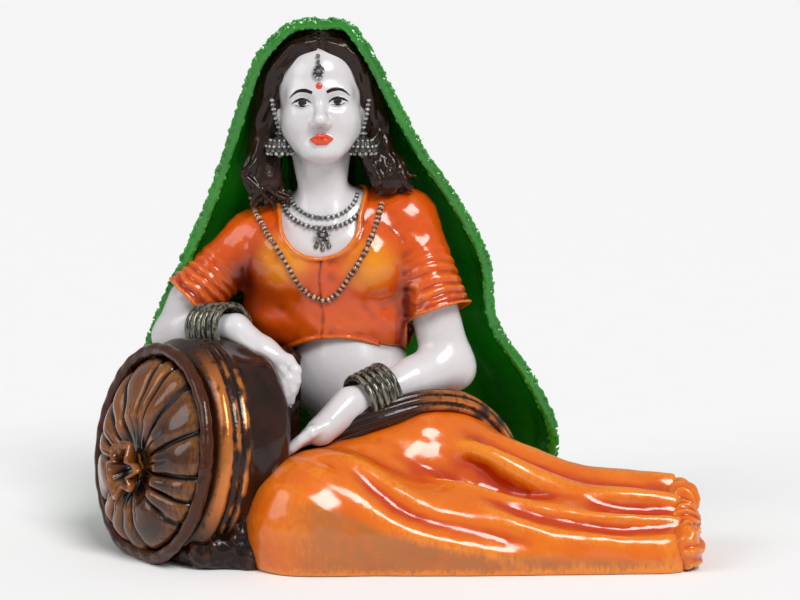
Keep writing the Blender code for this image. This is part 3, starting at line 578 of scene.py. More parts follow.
LACE = enamel(
    "green_lace_enamel", (0.008, 0.16, 0.006), (0.014, 0.23, 0.008), (0.002, 0.04, 0.002), (0.07, 0.40, 0.03),
    pits=0.0001, coat=0.5, wash_and_shade=(0.1, 0.6), rub_and_highlight=(0.25, 1.0))
BROWN = enamel(
    "dark_brown_enamel", (0.009, 0.0035, 0.002), (0.020, 0.006, 0.003), (0.003, 0.002, 0.001),
    (0.060, 0.016, 0.005), pits=0.00022, coat=0.35, rough=(0.08, 0.25), shine=0.15)
# Its extra colour is near-black painted shade, in the gaps between the pleats and in the knot's opening.
COPPER = enamel(
    "copper_rubbed_and_highlit_enamel", (0.25, 0.075, 0.009), (0.085, 0.022, 0.006), (0.008, 0.003, 0.002),
    (0.42, 0.15, 0.022), metal=0.35, pits=0.0001, wash_and_shade=(0.0, 0.4), rub_and_highlight=(0.1, 0.9), patch_scale=55,
    extra=(0.010, 0.0035, 0.003), coat=0.5, shine=0.3)
EDGED = enamel(
    "copper_edged_brown_enamel", (0.014, 0.005, 0.003), (0.034, 0.009, 0.004), (0.003, 0.002, 0.001),
    (0.60, 0.19, 0.04), metal=0.5, pits=0.00012, wash_and_shade=(0.1, 0.5), rub_and_highlight=(0.05, 0.5), rub_where="patch",
    coat=0.4, shine=0.2)
SILVER = enamel(
    "antique_silver_paint", (0.055, 0.055, 0.05), (0.03, 0.03, 0.028), (0.004, 0.004, 0.004),
    (0.62, 0.60, 0.57), metal=0.3, pits=0.00008, wash_and_shade=(0.0, 0.3), rub_and_highlight=(0.2, 0.7), rough=(0.2, 0.42), coat=0.3)
GUNMETAL = enamel(
    "gunmetal_paint", (0.016, 0.016, 0.013), (0.028, 0.027, 0.021), (0.003, 0.003, 0.003),
    (0.22, 0.205, 0.15), metal=0.4, pits=0.00012, wash_and_shade=(0.0, 0.35), rub_and_highlight=(0.62, 1.05), rough=(0.15, 0.35),
    coat=0.4, shine=0.3)
BEADS = enamel(
    "copper_beaded_brown_paint", (0.04, 0.014, 0.005), (0.022, 0.007, 0.003), (0.005, 0.002, 0.001),
    (0.66, 0.35, 0.21), metal=0.3, pits=0.00008, wash_and_shade=(0.0, 0.3), rub_and_highlight=(0.08, 0.5), coat=0.3)
VERMILION = enamel(
    "vermilion_enamel", (0.70, 0.055, 0.004), (0.62, 0.042, 0.004), (0.34, 0.02, 0.004), (0.74, 0.085, 0.01),
    pits=0.00004, coat=0.8)
INK = enamel(
    "black_line_enamel", (0.006, 0.005, 0.005), (0.010, 0.008, 0.008), (0.004, 0.004, 0.004),
    (0.014, 0.012, 0.010), pits=0.00004, coat=0.1, shine=0.2)
IRIS = enamel(
    "iris_enamel", (0.012, 0.007, 0.005), (0.02, 0.011, 0.008), (0.004, 0.003, 0.003), (0.02, 0.012, 0.010),
    pits=0.00003, coat=0.3)


# ---------------------------------------------------------------- her skin

FACE_TILT = math.radians(14)
FACE_ROLL = math.radians(2.5)


def face_axes():
    """Rows: to the viewer's right, forwards out of the face, and up the face."""
    forwards = np.array((0, -math.cos(FACE_TILT), math.sin(FACE_TILT)))
    up = np.array((-math.sin(FACE_ROLL), math.sin(FACE_TILT), math.cos(FACE_TILT)))
    up /= np.linalg.norm(up)
    across = np.cross(up, forwards)
    across /= np.linalg.norm(across)
    return np.stack([across, np.cross(across, up), up]).astype(np.float32)


FACE = face_axes()


def on_face(u, f, w):
    return HEAD + u * FACE[0] + f * FACE[1] + w * FACE[2]


def in_face(field):
    """A field drawn in the face's own axes, about the middle of the head."""
    return lambda p: field((p - HEAD) @ FACE.T)


SIDES = ((-1, "right"), (1, "left"))


def mirrored(make):
    return make(-1), make(1)


EYE_SIDE, EYE_UP = 6.3, -6.9
LIP_LINE = -20.3


def face_field():
    skull = blend(5, ball((0, -2, 2), (16.2, 17.5, 17.5)), ball((0, 3.6, 3), (13.4, 13, 12.5)),
                  ball((0, 3, -10.5), (13.2, 13.0, 14.5)))
    jaw = blend(4, *mirrored(lambda s: limb(((s * 9.8, 1.5, -14), 5.2), ((s * 4.2, 8.8, -22.6), 4.4))),
                ball((0, 10.8, -23.6), (4.8, 4.4, 4.4)))
    cheeks = blend(4, *mirrored(lambda s: ball((s * 7.4, 8.4, -12.0), (5.6, 6.0, 6.2))))
    brow = limb(((-8.6, 13.0, -3.4), 2.2), ((0, 14.4, -3.4), 2.2), ((8.6, 13.0, -3.4), 2.2))
    whole = blend(4.5, skull, jaw, cheeks, brow)
    sockets = mirrored(lambda s: ball((s * EYE_SIDE, 18.2, EYE_UP - 0.3), (4.5, 3.6, 2.9)))
    whole = without(2.2, whole, *sockets)
    eyes = mirrored(lambda s: ball((s * (EYE_SIDE - 0.1), 11.5, EYE_UP), (3.9, 3.9, 2.9)))
    whole = blend(0.7, whole, *eyes)
    lids = mirrored(lambda s: limb(*[(lid_point(s, t, 1.45), 0.42) for t in np.linspace(-1, 1, 9)]))
    low_lids = mirrored(lambda s: limb(*[(lid_point(s, t, -1.25), 0.3) for t in np.linspace(-1, 1, 9)]))
    nose = blend(1.6, limb(((0, 14.6, -5.4), 1.35), ((0, 18.2, -13.4), 1.8)),
                 ball((0, 18.5, -14.0), (2.3, 2.4, 2.1)),
                 *mirrored(lambda s: ball((s * 2.3, 16.4, -15.0), (1.6, 2.0, 1.5))))
    nose = without(0.5, nose, *mirrored(lambda s: ball((s * 1.15, 18.0, -16.7), (0.65, 0.9, 0.8))))
    lips = grown(lips_field(), -0.12)
    philtrum = limb(((0, 18.4, -16.6), 0.7), ((0, 18.4, -19.0), 0.8))
    whole = blend(1.8, whole, nose)
    whole = without(1.0, whole, philtrum)
    whole = blend(0.6, blend(1.2, whole, lips), *lids, *low_lids)
    ears = mirrored(lambda s: ball((s * 15.2, 0.5, -8.5), (1.8, 3.4, 5.4)))
    return in_face(blend(1.2, whole, *ears))


def lid_point(side, t, height):
    """A point on the rim of an eyelid, from the inner corner (t -1) to the outer (t 1)."""
    u = side * (EYE_SIDE + 3.2 * t)
    w = EYE_UP + height * (1 - t * t) - 0.25 + 0.35 * t
    return np.array((u, 15.35 - 0.75 * t * t - 0.25 * (t > 0) * t, w), np.float32)


def lips_field():
    halves = mirrored(lambda s: limb(((s * 0.9, 16.4, -19.5), 1.05), ((s * 3.9, 14.9, -20.3), 0.4)))
    upper = blend(0.5, *halves)
    lower = limb(((-3.4, 15.0, -20.9), 0.5), ((-1.6, 15.9, -21.5), 1.15), ((1.6, 15.9, -21.5), 1.15),
                 ((3.4, 15.0, -20.9), 0.5))
    slit = limb(((-4, 15.6, -20.4), 0.12), ((0, 17.6, -20.35), 0.16), ((4, 15.6, -20.4), 0.12))
    return without(0.35, blend(0.3, upper, lower), slit)


def finger(knuckle, tip, radius, bend):
    """One finger with its three bones and a rounded tip."""
    run = tip - knuckle
    first = knuckle + run * 0.42 + bend
    second = knuckle + run * 0.74 + bend * 0.8
    bones = limb((knuckle, radius * 1.06), (first, radius), (second, radius * 0.92), (tip, radius * 0.74))
    return blend(0.6, bones, ball(first, radius * 1.1))


def four_fingers(knuckles, tips, across, bend, reaches, radius, closing):
    """The fingers side by side, each with its own reach, drawing together towards their tips."""
    fingers = []
    for i, reach in enumerate(reaches):
        root = knuckles + across * (i - 1.5)
        tip = root + (tips - knuckles) * reach - across * (i - 1.5) * closing
        fingers.append(finger(root, tip, radius, np.asarray(bend, np.float32)))
    return fingers


def right_arm_field():
    across = unit((0.9, 0.2, 0.9)) * 3.6
    fingers = four_fingers(RIGHT_KNUCKLES, RIGHT_FINGERTIPS, across, (1.6, -2.4, 1.4),
                           (0.92, 1.15, 1.22, 1.05), 2.15, 0.3)
    thumb = blend(0.8, limb((RIGHT_KNUCKLES + at(-5, 0, 0), 3.0), (RIGHT_KNUCKLES + at(-5.5, -3.6, -5), 2.3),
                            (RIGHT_KNUCKLES + at(-3.4, -5.2, -10), 1.7)))
    palm = blend(3, limb((RIGHT_WRIST, WRIST_RADIUS * 0.96), (RIGHT_KNUCKLES + at(-6, 5, 5), 6.0)),
                 limb((RIGHT_KNUCKLES + at(-7, 5, 2), 5.0), (RIGHT_KNUCKLES + across * -1.2, 2.9)),
                 limb((RIGHT_KNUCKLES + at(-5, 5, 6), 5.0), (RIGHT_KNUCKLES + across * 1.2, 2.9)))
    fore = limb((RIGHT_ELBOW, 7.8), (RIGHT_ELBOW + (RIGHT_WRIST - RIGHT_ELBOW) * 0.35, 7.5),
                (RIGHT_WRIST, WRIST_RADIUS))
    upper = limb((RIGHT_SHOULDER * 0.6 + RIGHT_CUFF * 0.4, 8), (RIGHT_CUFF, 7.7), (RIGHT_ELBOW, 7.6))
    hand = blend(0.9, palm, *fingers)
    return blend(1.6, blend(3, upper, fore), blend(1.0, hand, thumb))


def left_arm_field():
    across = unit((0.5, -0.6, 0.55)) * 2.9
    fingers = four_fingers(LEFT_KNUCKLES, LEFT_FINGERTIPS, across, (-0.2, -1.0, 1.2),
                           (0.84, 0.98, 1.05, 0.98), 2.1, 0.42)
    thumb = limb((LEFT_WRIST + at(-6, -1, 0), 3.4), (LEFT_KNUCKLES + at(-1.5, 1.0, 1.8), 2.3),
                 (LEFT_KNUCKLES + at(-5.5, -1.6, -1.0), 1.8))
    palm = blend(3, limb((LEFT_WRIST, WRIST_RADIUS), (LEFT_KNUCKLES, 5.2)),
                 limb((LEFT_WRIST + at(-3, -2, -1), 4.6), (LEFT_KNUCKLES + across * -1.1, 2.9)),
                 limb((LEFT_WRIST + at(-3, -2, 1), 4.6), (LEFT_KNUCKLES + across * 1.1, 2.9)))
    upper = limb((LEFT_SHOULDER * 0.4 + LEFT_CUFF * 0.6, 8.8), (LEFT_ELBOW, 8.8))
    fore = limb((LEFT_ELBOW, 8.9), (LEFT_ELBOW + (LEFT_WRIST - LEFT_ELBOW) * 0.4, 8.3),
                (LEFT_WRIST + at(9, 6, 2), 6.6), (LEFT_WRIST, WRIST_RADIUS))
    point = ball(LEFT_ELBOW + at(3.2, 1, -3), 5.6)
    return blend(1.6, blend(4, upper, fore, point), blend(1.0, blend(0.9, palm, *fingers), thumb))


def trunk_field():
    cords = mirrored(lambda s: limb((HEAD + at(s * 9.5, 1, -20), 2.0),
                                    (NECK_BASE + at(-1 + s * 3, -8.5, -4), 1.8)))
    neck = blend(3, limb((NECK_TOP + at(0, 0, 2), 8.4), (NECK_BASE + at(-1, 0, 4), 8.4)), *cords)
    chest = blend(6, ball(CHEST, (27, 16, 22)),
                  limb((RIGHT_SHOULDER, 8.5), (CHEST + at(0, 0, 12), 13), (LEFT_SHOULDER, 8.5)),
                  *[ball(CHEST + at(x, -9, -3), (10.5, 9.5, 11)) for x in (-13, 14)])
    belly = blend(6, limb((CHEST, 17), (WAIST, 17), (HIPS, 21)),
                  ball(WAIST + at(0, -2, -16), (22.5, 17.5, 18)))
    collar = mirrored(lambda s: limb((NECK_BASE + at(-1 + s * 4, -9.5, -5.5), 1.3),
                                     (NECK_BASE + at(-1 + s * 17, -4, -3.5), 1.2)))
    whole = blend(5, blend(7, chest, belly), neck)
    return blend(3, whole, *collar)


FACE_FORM = face_field()
TRUNK_FORM = trunk_field()
RIGHT_ARM_FORM = right_arm_field()
LEFT_ARM_FORM = left_arm_field()
SKIN_FORM = blend(4, TRUNK_FORM, FACE_FORM)
NECK_SEAM = plane(at(0, 0, 99.5), (0, 0, 1))  # the skin is split where the blouse hides it


def make_skin():
    """The four pieces of skin; the torso and the arms get painted shade where cloth or the bolster touches
    them.
    """
    cast("head_and_neck", both(SKIN_FORM, lambda p: -NECK_SEAM(p) + 0.05), HEAD - at(40, 30, 68),
         HEAD + at(46, 24, 22), 0.42, SKIN, ["head"], "skin", rounds=14, reach=0.5)
    cast("torso_skin", both(SKIN_FORM, NECK_SEAM), at(-64, -12, 14), at(16, 40, 130), 0.9, SKIN, ["torso"],
         "skin", rounds=10, reach=0.8, stain=[(BLOUSE_FORM, 0.5), (SASH_FORM, 0.8)])
    cast("right_arm_skin", RIGHT_ARM_FORM, at(-93, -36, 50), at(-32, 26, 104), 0.5, SKIN, ["right_arm"],
         "skin", rounds=12, reach=0.5, stain=[(BOLSTER_FORM, 0.4)])
    cast("left_arm_skin", LEFT_ARM_FORM, at(-46, -42, 34), at(30, 26, 106), 0.5, SKIN, ["left_arm"], "skin",
         rounds=12, reach=0.5, stain=[(SKIRT_FORM, 0.5)])


def stroke(path, widths, lift, name, paint, slot):
    """A brush stroke on the face: a thin raised skin along a path of (across, up) points."""
    path = smooth_line(np.asarray(path, float), 28)
    widths = np.interp(np.linspace(0, 1, len(path)), np.linspace(0, 1, len(widths)), widths)
    run = np.gradient(path, axis=0)
    side = np.stack([-run[:, 1], run[:, 0]], 1) / (np.linalg.norm(run, axis=1)[:, None] + 1e-9)
    spread = np.linspace(-1, 1, 7)
    flat = path[:, None] + side[:, None] * (spread[None, :, None] * widths[:, None, None])
    starts = HEAD + flat[..., :1] * FACE[0] + 26 * FACE[1] + flat[..., 1:] * FACE[2]
    touch = onto(FACE_FORM, starts.reshape(-1, 3), -FACE[1]).reshape(starts.shape)
    top = touch + FACE[1] * (0.05 + lift * (1 - spread ** 2))[None, :, None]
    low = touch - FACE[1] * 0.35
    loops = np.concatenate([top, low[:, ::-1]], 1)
    piece(to_object(name, loft(loops)), paint, [], slot, rounds=2)


def make_face_paint():
    for s, word in SIDES:
        stroke([(s * 2.6, -3.9), (s * 5.2, -2.9), (s * 8.0, -3.0), (s * 10.9, -5.0)], (0.5, 0.66, 0.5, 0.1),
               0.07, f"brow_{word}", INK, "hair")
        stroke([(s * 3.1, EYE_UP - 0.35), (s * 4.4, EYE_UP + 0.75), (s * 6.4, EYE_UP + 1.2),
                (s * 8.4, EYE_UP + 0.7), (s * 10.1, EYE_UP - 0.1)], (0.14, 0.46, 0.52, 0.46, 0.1), 0.08,
               f"lash_line_{word}", INK, "hair")
        stroke([(s * 4.0, EYE_UP - 1.0), (s * 6.4, EYE_UP - 1.55), (s * 8.9, EYE_UP - 0.7)],
               (0.05, 0.14, 0.08), 0.03, f"lower_lash_{word}", INK, "hair")
        stroke([(s * EYE_SIDE + aside, EYE_UP - 0.15) for aside in (-1.5, -0.75, 0, 0.75, 1.5)],
               (0.3, 1.2, 1.4, 1.2, 0.3), 0.06, f"iris_{word}", IRIS, "hair")
    mouth = on_face(0, 16, -20.5)
    cast("painted_lips", in_face(lips_field()), mouth - 6, mouth + 6, 0.16, VERMILION, [], "vermilion",
         rounds=6, reach=0.3)
    spot = onto(FACE_FORM, [on_face(0, 30, -1.6)], -FACE[1])[0]
    obj = to_object("bindi_dot", bead(spot, (1.25, 1.25, 0.55), 10, 24, axis=FACE[1]))
    piece(obj, VERMILION, ["bindi"], "vermilion", rounds=2)


# ---------------------------------------------------------------- hair

LAYERS, LOCKS_IN_LAYER, LOCK_POINTS = 3, 18, 64


def hair_locks():
    """Paths of the locks, each from the parting, over the side of the head and down to a shoulder."""
    draw = np.random.default_rng(5)
    locks = []
    ends = {-1: [(-21.0, -6, -25), (-20.5, -8, -34), (-17, -8, -41)],
            1: [(21, -7, -22), (25, -8, -30), (29, -7, -36)]}
    for side in (-1, 1):
        waist, shoulder, end = (np.array(e, float) for e in ends[side])
        for i in range(LAYERS * LOCKS_IN_LAYER):
            layer, place = divmod(i, LOCKS_IN_LAYER)
            back = place / (LOCKS_IN_LAYER - 1)
            out = draw.uniform(-1, 1)
            bulk = 0.98 + 0.07 * layer + 0.04 * out
            crown = 3.6 * math.sin(math.pi * min(1, 0.05 + 0.8 * back))
            behind = 22 * back - 0.5 * layer
            path = [
                (side * 0.5 - 0.5, -9.6 + behind, 14.6 + 1.5 * layer + crown * 1.3),
                (side * 8.4 * bulk - 0.5, -10.4 + behind, 11.8 + 1.7 * layer + crown * 1.2),
                (side * 14.2 * bulk - 0.5, -9.4 + 18 * back, 5.4 + 1.6 * layer + 4 * back),
                (side * 17.4 * bulk - 1, -6.6 + 15 * back, -3),
                (side * (19.8 * bulk + out), -4.4 + 12 * back, -13),
                waist + (out * 4.6, 7 * back + 2 * out, draw.uniform(-2, 2)),
                shoulder + (out * 5.6, 6 * back + 2 * out, draw.uniform(-2, 2)),
                end + (draw.uniform(-8, 6), 5 * back + draw.uniform(-2, 2), draw.uniform(-2, 5)),
            ]
            line = smooth_line(path, LOCK_POINTS)
            t = np.linspace(0, 1, LOCK_POINTS)
            sway = draw.uniform(0, 6.28)
            line[:, 0] += np.sin(t * 30 + sway) * (0.35 + 0.8 * t)
            line[:, 1] += np.cos(t * 30 + sway) * 0.55
            line[:, 2] += np.sin(t * 19 + sway) * 0.5 * t
            locks.append((line + HEAD, np.interp(t, (0, 0.12, 0.5, 0.85, 1), (0.8, 1.2, 1.35, 1.5, 0.45))))
    return locks


def make_hair():
    def side_mass(s, reach):
        return limb((HEAD + at(s * 8 - 1, -5, 15.5), 3.6), (HEAD + at(s * 15 - 1, -3.5, 9), 4.2),
                    (HEAD + at(s * 18.5 - 1, -1, 0), 5), (HEAD + at(s * 20, 1, -12), 6),
                    (HEAD + at(s * 20.5, -1, -24), 6.5), (HEAD + at(s * reach, -4, -32), 6))

    core = blend(4, ball(HEAD + at(-1, 4, 0), (20.0, 13.5, 21.5)), side_mass(-1, 19.5), side_mass(1, 24),
                 limb((HEAD + at(0, 9, -5), 14), (HEAD + at(0, 11, -34), 12)))
    face_hole = blend(2, ball(HEAD + at(0, -18, -6), (14.4, 17, 19)),
                      limb((HEAD + at(0, -18, -14), 13), (HEAD + at(0, -16, -48), 11.5)))
    core = without(1.5, core, face_hole)
    shapes = [skin_of(core, HEAD - at(38, 24, 50), HEAD + at(40, 32, 28), 0.9)]
    for line, radii in hair_locks():
        shapes.append(tube(line, radii, 8, up=(0.1, 1, 0.2)))
    trim("wavy_hair", shapes, 0.4, HAIR, ["hair"], "hair", rounds=8, reach=0.4)


# ---------------------------------------------------------------- blouse

def sleeve_creases(start, end, p):
    """Rings of small folds round a sleeve, deeper near its cuff and on the inside of the arm."""
    run = end - start
    length = float(np.linalg.norm(run))
    along = (p - start) @ (run / length)
    share = step_up(along, 0.25 * length, 0.8 * length) * step_up(length + 4 - along, 0, 6)
    turn = np.arctan2(p[:, 1] - start[1], p[:, 0] - start[0])
    phase = along * 2 * math.pi / CREASE_LENGTH + 1.6 * np.sin(turn * 2 + along * 0.2) + 1.7 * waves(p, 12, 3)
    return np.sin(phase) * share


PLACKET_X = -28.8
CREASE_LENGTH = 3.6
BRAID_KNOT_LENGTH = 1.9


def placket(p):
    """The front opening: a groove down the middle with a soft lip beside it."""
    off = p[:, 0] - PLACKET_X - 0.5 * np.sin(p[:, 2] * 0.25)
    front = step_up(-p[:, 1], -8, 0) * step_up(-p[:, 2], -106, -101)
    return (0.22 * np.exp(-((off - 1.5) / 1.0) ** 2) - 0.5 * np.exp(-(off / 0.45) ** 2)) * front


def side_braid(p):
    """A row of tiny knots down the left side of the front."""
    off = p[:, 0] - 6.2 + 0.1 * (92 - p[:, 2])
    front = step_up(-p[:, 1], -6, 0) * step_up(-p[:, 2], -96, -92) * step_up(p[:, 2], 70, 74)
    return 0.6 * np.abs(np.cos(p[:, 2] * math.pi / BRAID_KNOT_LENGTH)) * np.exp(-(off / 0.8) ** 2) * front


def blouse_outer():
    body = blend(6, ball(CHEST + at(0, 0, -1), (29.5, 18.5, 25)),
                 limb((RIGHT_SHOULDER, 10.3), (CHEST + at(0, 0, 8), 15.6), (LEFT_SHOULDER, 11.3)),
                 limb((CHEST + at(-6, 0, -5), 19.6), (WAIST + at(-7, 0, 6), 18.8)),
                 limb((CHEST + at(8, 0, -5), 18.6), (WAIST + at(5, 0, 6), 18.8)),
                 limb((RIGHT_SHOULDER + at(6, 0, -6), 11.6), (WAIST + at(-25, -2, 8), 12.8)),
                 limb((LEFT_SHOULDER + at(-8, 0, -8), 11.6), (WAIST + at(17, -2, 8), 12.8)))
    breasts = (CHEST + at(-14.5, -11, -2), CHEST + at(15.5, -11, -3))
    bust = blend(2, *[ball(middle, (14, 12.5, 14.5)) for middle in breasts])
    right = limb((RIGHT_SHOULDER, 10.3), (RIGHT_CUFF * 1.2 - RIGHT_SHOULDER * 0.2, 10))
    left = limb((LEFT_SHOULDER, 11.3), (LEFT_CUFF * 1.2 - LEFT_SHOULDER * 0.2, 12))
    whole = blend(3.5, blend(4.5, body, bust), right, left)

    def field(p):
        d = whole(p)
        near = np.abs(d) < 4
        if near.any():
            q = p[near]
            folds = 0.42 * sleeve_creases(LEFT_SHOULDER, LEFT_CUFF, q) * step_up(q[:, 0], -1, 5)
            folds += 0.38 * sleeve_creases(RIGHT_SHOULDER, RIGHT_CUFF, q) * step_up(-q[:, 0], 54, 60)
            folds += 0.28 * waves(q, 16, 11) + 0.14 * waves(q, 6, 12)
            folds += placket(q) + side_braid(q)
            d = d.copy()
            d[near] -= folds
        return d
    return field


BLOUSE_SKIN = blouse_outer()
NECK_SCOOP = limb((NECK_BASE + at(-2, -32, -1), 14.5), (NECK_BASE + at(-2, -10, -1), 14.5),
                  (NECK_BASE + at(-2, -4, 14), 18))
HEM_ARCH = blend(2, ball(WAIST + at(-3, -10, -17.5), (25, 40, 19)),
                 ball(WAIST + at(3, 0, -33), (60, 60, 26)))
RIGHT_SLEEVE_END = both(plane(RIGHT_CUFF, RIGHT_SHOULDER - RIGHT_CUFF), ball(RIGHT_CUFF, 24))
LEFT_SLEEVE_END = both(plane(LEFT_CUFF, LEFT_SHOULDER - LEFT_CUFF), ball(LEFT_CUFF + at(3, 0, -4), 21),
                       plane(at(1.8, 0, 0), (-1, 0, 0)))


def blouse_field():
    cut = without(0.6, BLOUSE_SKIN, NECK_SCOOP, HEM_ARCH, RIGHT_SLEEVE_END, LEFT_SLEEVE_END)
    front = plane(at(0, 18, 0), (0, 1, 0))
    rolls = [both(piping(NECK_SCOOP, BLOUSE_SKIN, 0.85), front),
             both(piping(HEM_ARCH, BLOUSE_SKIN, 0.8), front),
             piping(RIGHT_SLEEVE_END, BLOUSE_SKIN, 0.75), piping(LEFT_SLEEVE_END, BLOUSE_SKIN, 0.75)]
    return without(0.3, blend(0.6, cut, *rolls), grown(SKIN_FORM, 0.2), grown(RIGHT_ARM_FORM, 0.2),
                   grown(LEFT_ARM_FORM, 0.2))


BLOUSE_FORM = blouse_field()


def make_blouse():
    # Painted highlight: a yellower orange over the front of the bust.
    def bust(p):
        one = ball(CHEST + at(-15, -22, -1), (10, 9, 9))(p)
        two = ball(CHEST + at(16, -22, -2), (10, 9, 9))(p)
        return step_up(-np.minimum(one, two), -4, 6)

    def cuffs(p):
        right = step_up(-(p - RIGHT_CUFF) @ unit(RIGHT_SHOULDER - RIGHT_CUFF), -5, -1) * (p[:, 0] < -58)
        left = step_up(-(p - LEFT_CUFF) @ unit(LEFT_SHOULDER - LEFT_CUFF), -5, -1)
        return np.maximum(right, left * (p[:, 0] > -2) * (p[:, 2] < 95)) * 0.8

    # Painted shade under both arms, and where the arms lie close to the blouse.
    armpits = [(ball(at(-57, -4, 91), (4, 11, 11)), 3.6), (ball(at(2, -6, 86), (1.2, 8, 9)), 1.6)]
    cast("blouse_cloth", BLOUSE_FORM, at(-90, -18, 60), at(34, 42, 130), 0.62, ORANGE, ["blouse"], "orange",
         rounds=14, reach=0.6, masks={"patch": bust, "extra": cuffs},
         stain=[(RIGHT_ARM_FORM, 0.7), (LEFT_ARM_FORM, 0.7), *armpits])


# ---------------------------------------------------------------- skirt, sash and dark cloth

def ridge(points, radius, count=16, last=0.7):
    """A fold that rises along the points, to its full radius after a third of the way."""
    line = smooth_line(points, count)
    taper = np.interp(np.linspace(0, 1, count), (0, 0.35, 0.75, 1), (0.05, 1, 1, last)) * radius
    return limb(*[(point, r) for point, r in zip(line, taper)])


def skirt_field():
    body = blend(8, ball((5, 2, 24), (35, 29, 29.5)),
                 limb((at(5, -5, 26), 23), (RIGHT_KNEE, 20)),
                 limb((RIGHT_KNEE, 20.5), (at(20, -42, 11), 15.5), (at(90, -42, 8), 10.5)),
                 limb((RIGHT_KNEE - at(0, 0, 10), 20.5), (at(40, -41, 2), 16), (at(90, -42, 1), 12.5)),
                 limb((at(9, -4, 30), 23), (at(24, -9, 24), 18.5), (LEFT_KNEE, 14), (at(93, -24, 12), 10.5)),
                 limb((LEFT_KNEE - at(0, 0, 8), 16.5), (at(93, -22, 5), 13)))
    folds = [
        ridge([(-28, -50, 33), (-16, -52, 25), (-6, -53, 18), (8, -54, 14), (26, -53, 11), (48, -50, 8)],
              4.6),
        ridge([(4, -30, 26), (22, -40, 26.5), (38, -45, 18), (56, -48, 13.5), (76, -47, 13), (98, -44, 15)],
              4.2),
        ridge([(6, -18, 36), (26, -26, 38.5), (44, -29, 30), (64, -33, 23), (82, -34, 22), (98, -33, 20)],
              4.2),
        ridge([(20, -6, 40), (40, -12, 35), (62, -16, 26), (80, -18, 25), (98, -18, 25)], 4.4),
        ridge([(-32, -34, 34), (-18, -42, 35), (-6, -46, 29), (4, -49, 22)], 3.0),
    ]
    valleys = [
        ridge([(-24, -46, 46), (-9, -53, 31), (4, -57, 22.5), (22, -59, 17.5), (44, -60, 13), (66, -66, 11)],
              3.0, last=0.05),
        ridge([(4, -46, 46), (22, -46, 33), (42, -49, 22.5), (64, -51, 17.5), (84, -50, 16), (100, -47, 17)],
              3.0, last=0.8),
        ridge([(44, -46, 36), (68, -43, 23.5), (84, -41, 21.5), (100, -40, 22)], 2.6, last=0.8),
    ]
    whole = without(5, blend(7, body, *folds), *valleys)

    def field(p):
        return whole(p) - 0.22 * waves(p, 15, 21) - 0.06 * waves(p, 5, 22)

    ends = both(plane(at(98.5, 0, 0), (1, 0, 0)), plane(at(0, 0, 0), (0, 0, -1)))
    return lambda p: -soft_min(-field(p), -ends(p), 1.2)


SKIRT_FORM = without(0.4, skirt_field(), grown(LEFT_ARM_FORM, 0.2), grown(RIGHT_ARM_FORM, 0.2))


def make_skirt():
    def flank(p):
        line = np.interp(p[:, 0], (-40, -28, -16, -6, 8, 26, 48, 100), (26, 26, 21, 16, 12.5, 9.5, 7, 4))
        return step_up(line - p[:, 2], -2, 2) * step_up(p[:, 0], -46, -24) * step_up(-p[:, 1], 20, 40)

    # Painted shade by the sash, the left arm and the ruffled hem.
    cast("skirt_cloth", SKIRT_FORM, at(-56, -66, -2), at(102, 34, 60), 0.8, SKIRT_ORANGE, ["skirt"], "orange",
         rounds=34, reach=1.0, masks={"patch": flank},
         stain=[(SASH_FORM, 0.5), (LEFT_ARM_FORM, 0.5), (HEM_FORM, 0.6)])
    cast("ruffled_hem", HEM_FORM, at(90, -60, -2), at(112, 2, 34), 0.45, SKIRT_ORANGE, ["skirt_hem"],
         "orange", rounds=12, reach=0.4, masks={"patch": flank})


def hem_field():
    gathers = [((100, -14, 17), 8.2), ((100, -24, 19.5), 6.8), ((99.5, -33, 13), 8.2),
               ((99.5, -45, 7.5), 8.8), ((99, -22, 6), 9.6)]
    whole = blend(1.4, *[ball(at(*centre), (6.2, r, r)) for centre, r in gathers])

    def field(p):
        turn = np.arctan2(p[:, 2] - 10, p[:, 1] + 30)
        crimp = np.sin(turn * 22 + 2 * waves(p, 12, 5)) * step_up(p[:, 0], 96, 101)
        return np.maximum(whole(p) - 0.6 * crimp - 0.25 * waves(p, 5, 31), -p[:, 2])
    return field


HEM_FORM = hem_field()

SASH_PATH = [(-39, -20, 36), (-22, -23, 44), (-5, -21, 50.5), (9, -15.5, 53.5), (23, -8, 51), (33, 0, 42),
             (40, 8, 30)]


def sash_field():
    line = smooth_line(SASH_PATH, 40)
    return limb(*[(point, 4.6) for point in line])


SASH_FORM = sash_field()


def make_sash():
    """The ribbed roll of cloth over her lap, its crests rubbed with copper towards the viewer's right."""
    line = smooth_line(SASH_PATH, 150)

    def ribs(turn, along):
        twist = turn + 0.8 * along
        return 0.88 + 0.17 * np.abs(np.sin(twist * 4)) ** 0.8 + 0.02 * np.sin(along * 30 + turn * 2)

    def edges(p):
        return step_up(p[:, 0], 2, 22) * step_up(waves(p, 14, 61), -0.9, 0.3)

    shape = tube(line, 4.4, 96, ribs=ribs, up=(0, 0.5, 1))
    piece(to_object("ribbed_sash", shape), EDGED, ["waist_sash"], "brown", rounds=12, reach=0.75,
          masks={"patch": edges})


# ---------------------------------------------------------------- bolster

BOLSTER_AXIS = np.array((math.sin(BOLSTER_YAW), math.cos(BOLSTER_YAW), 0))
BOLSTER_SIDE = np.array((BOLSTER_AXIS[1], -BOLSTER_AXIS[0], 0))


def on_bolster(along, across=0.0, up=0.0):
    """A point by the bolster: along its axis from its end, across towards her, and up from its middle."""
    along, across, up = (np.asarray(way)[..., None] for way in (along, across, up))
    along = along + math.tan(BOLSTER_LEAN) * up
    return BOLSTER_FACE + BOLSTER_AXIS * along + BOLSTER_SIDE * across + np.array((0, 0, 1)) * up


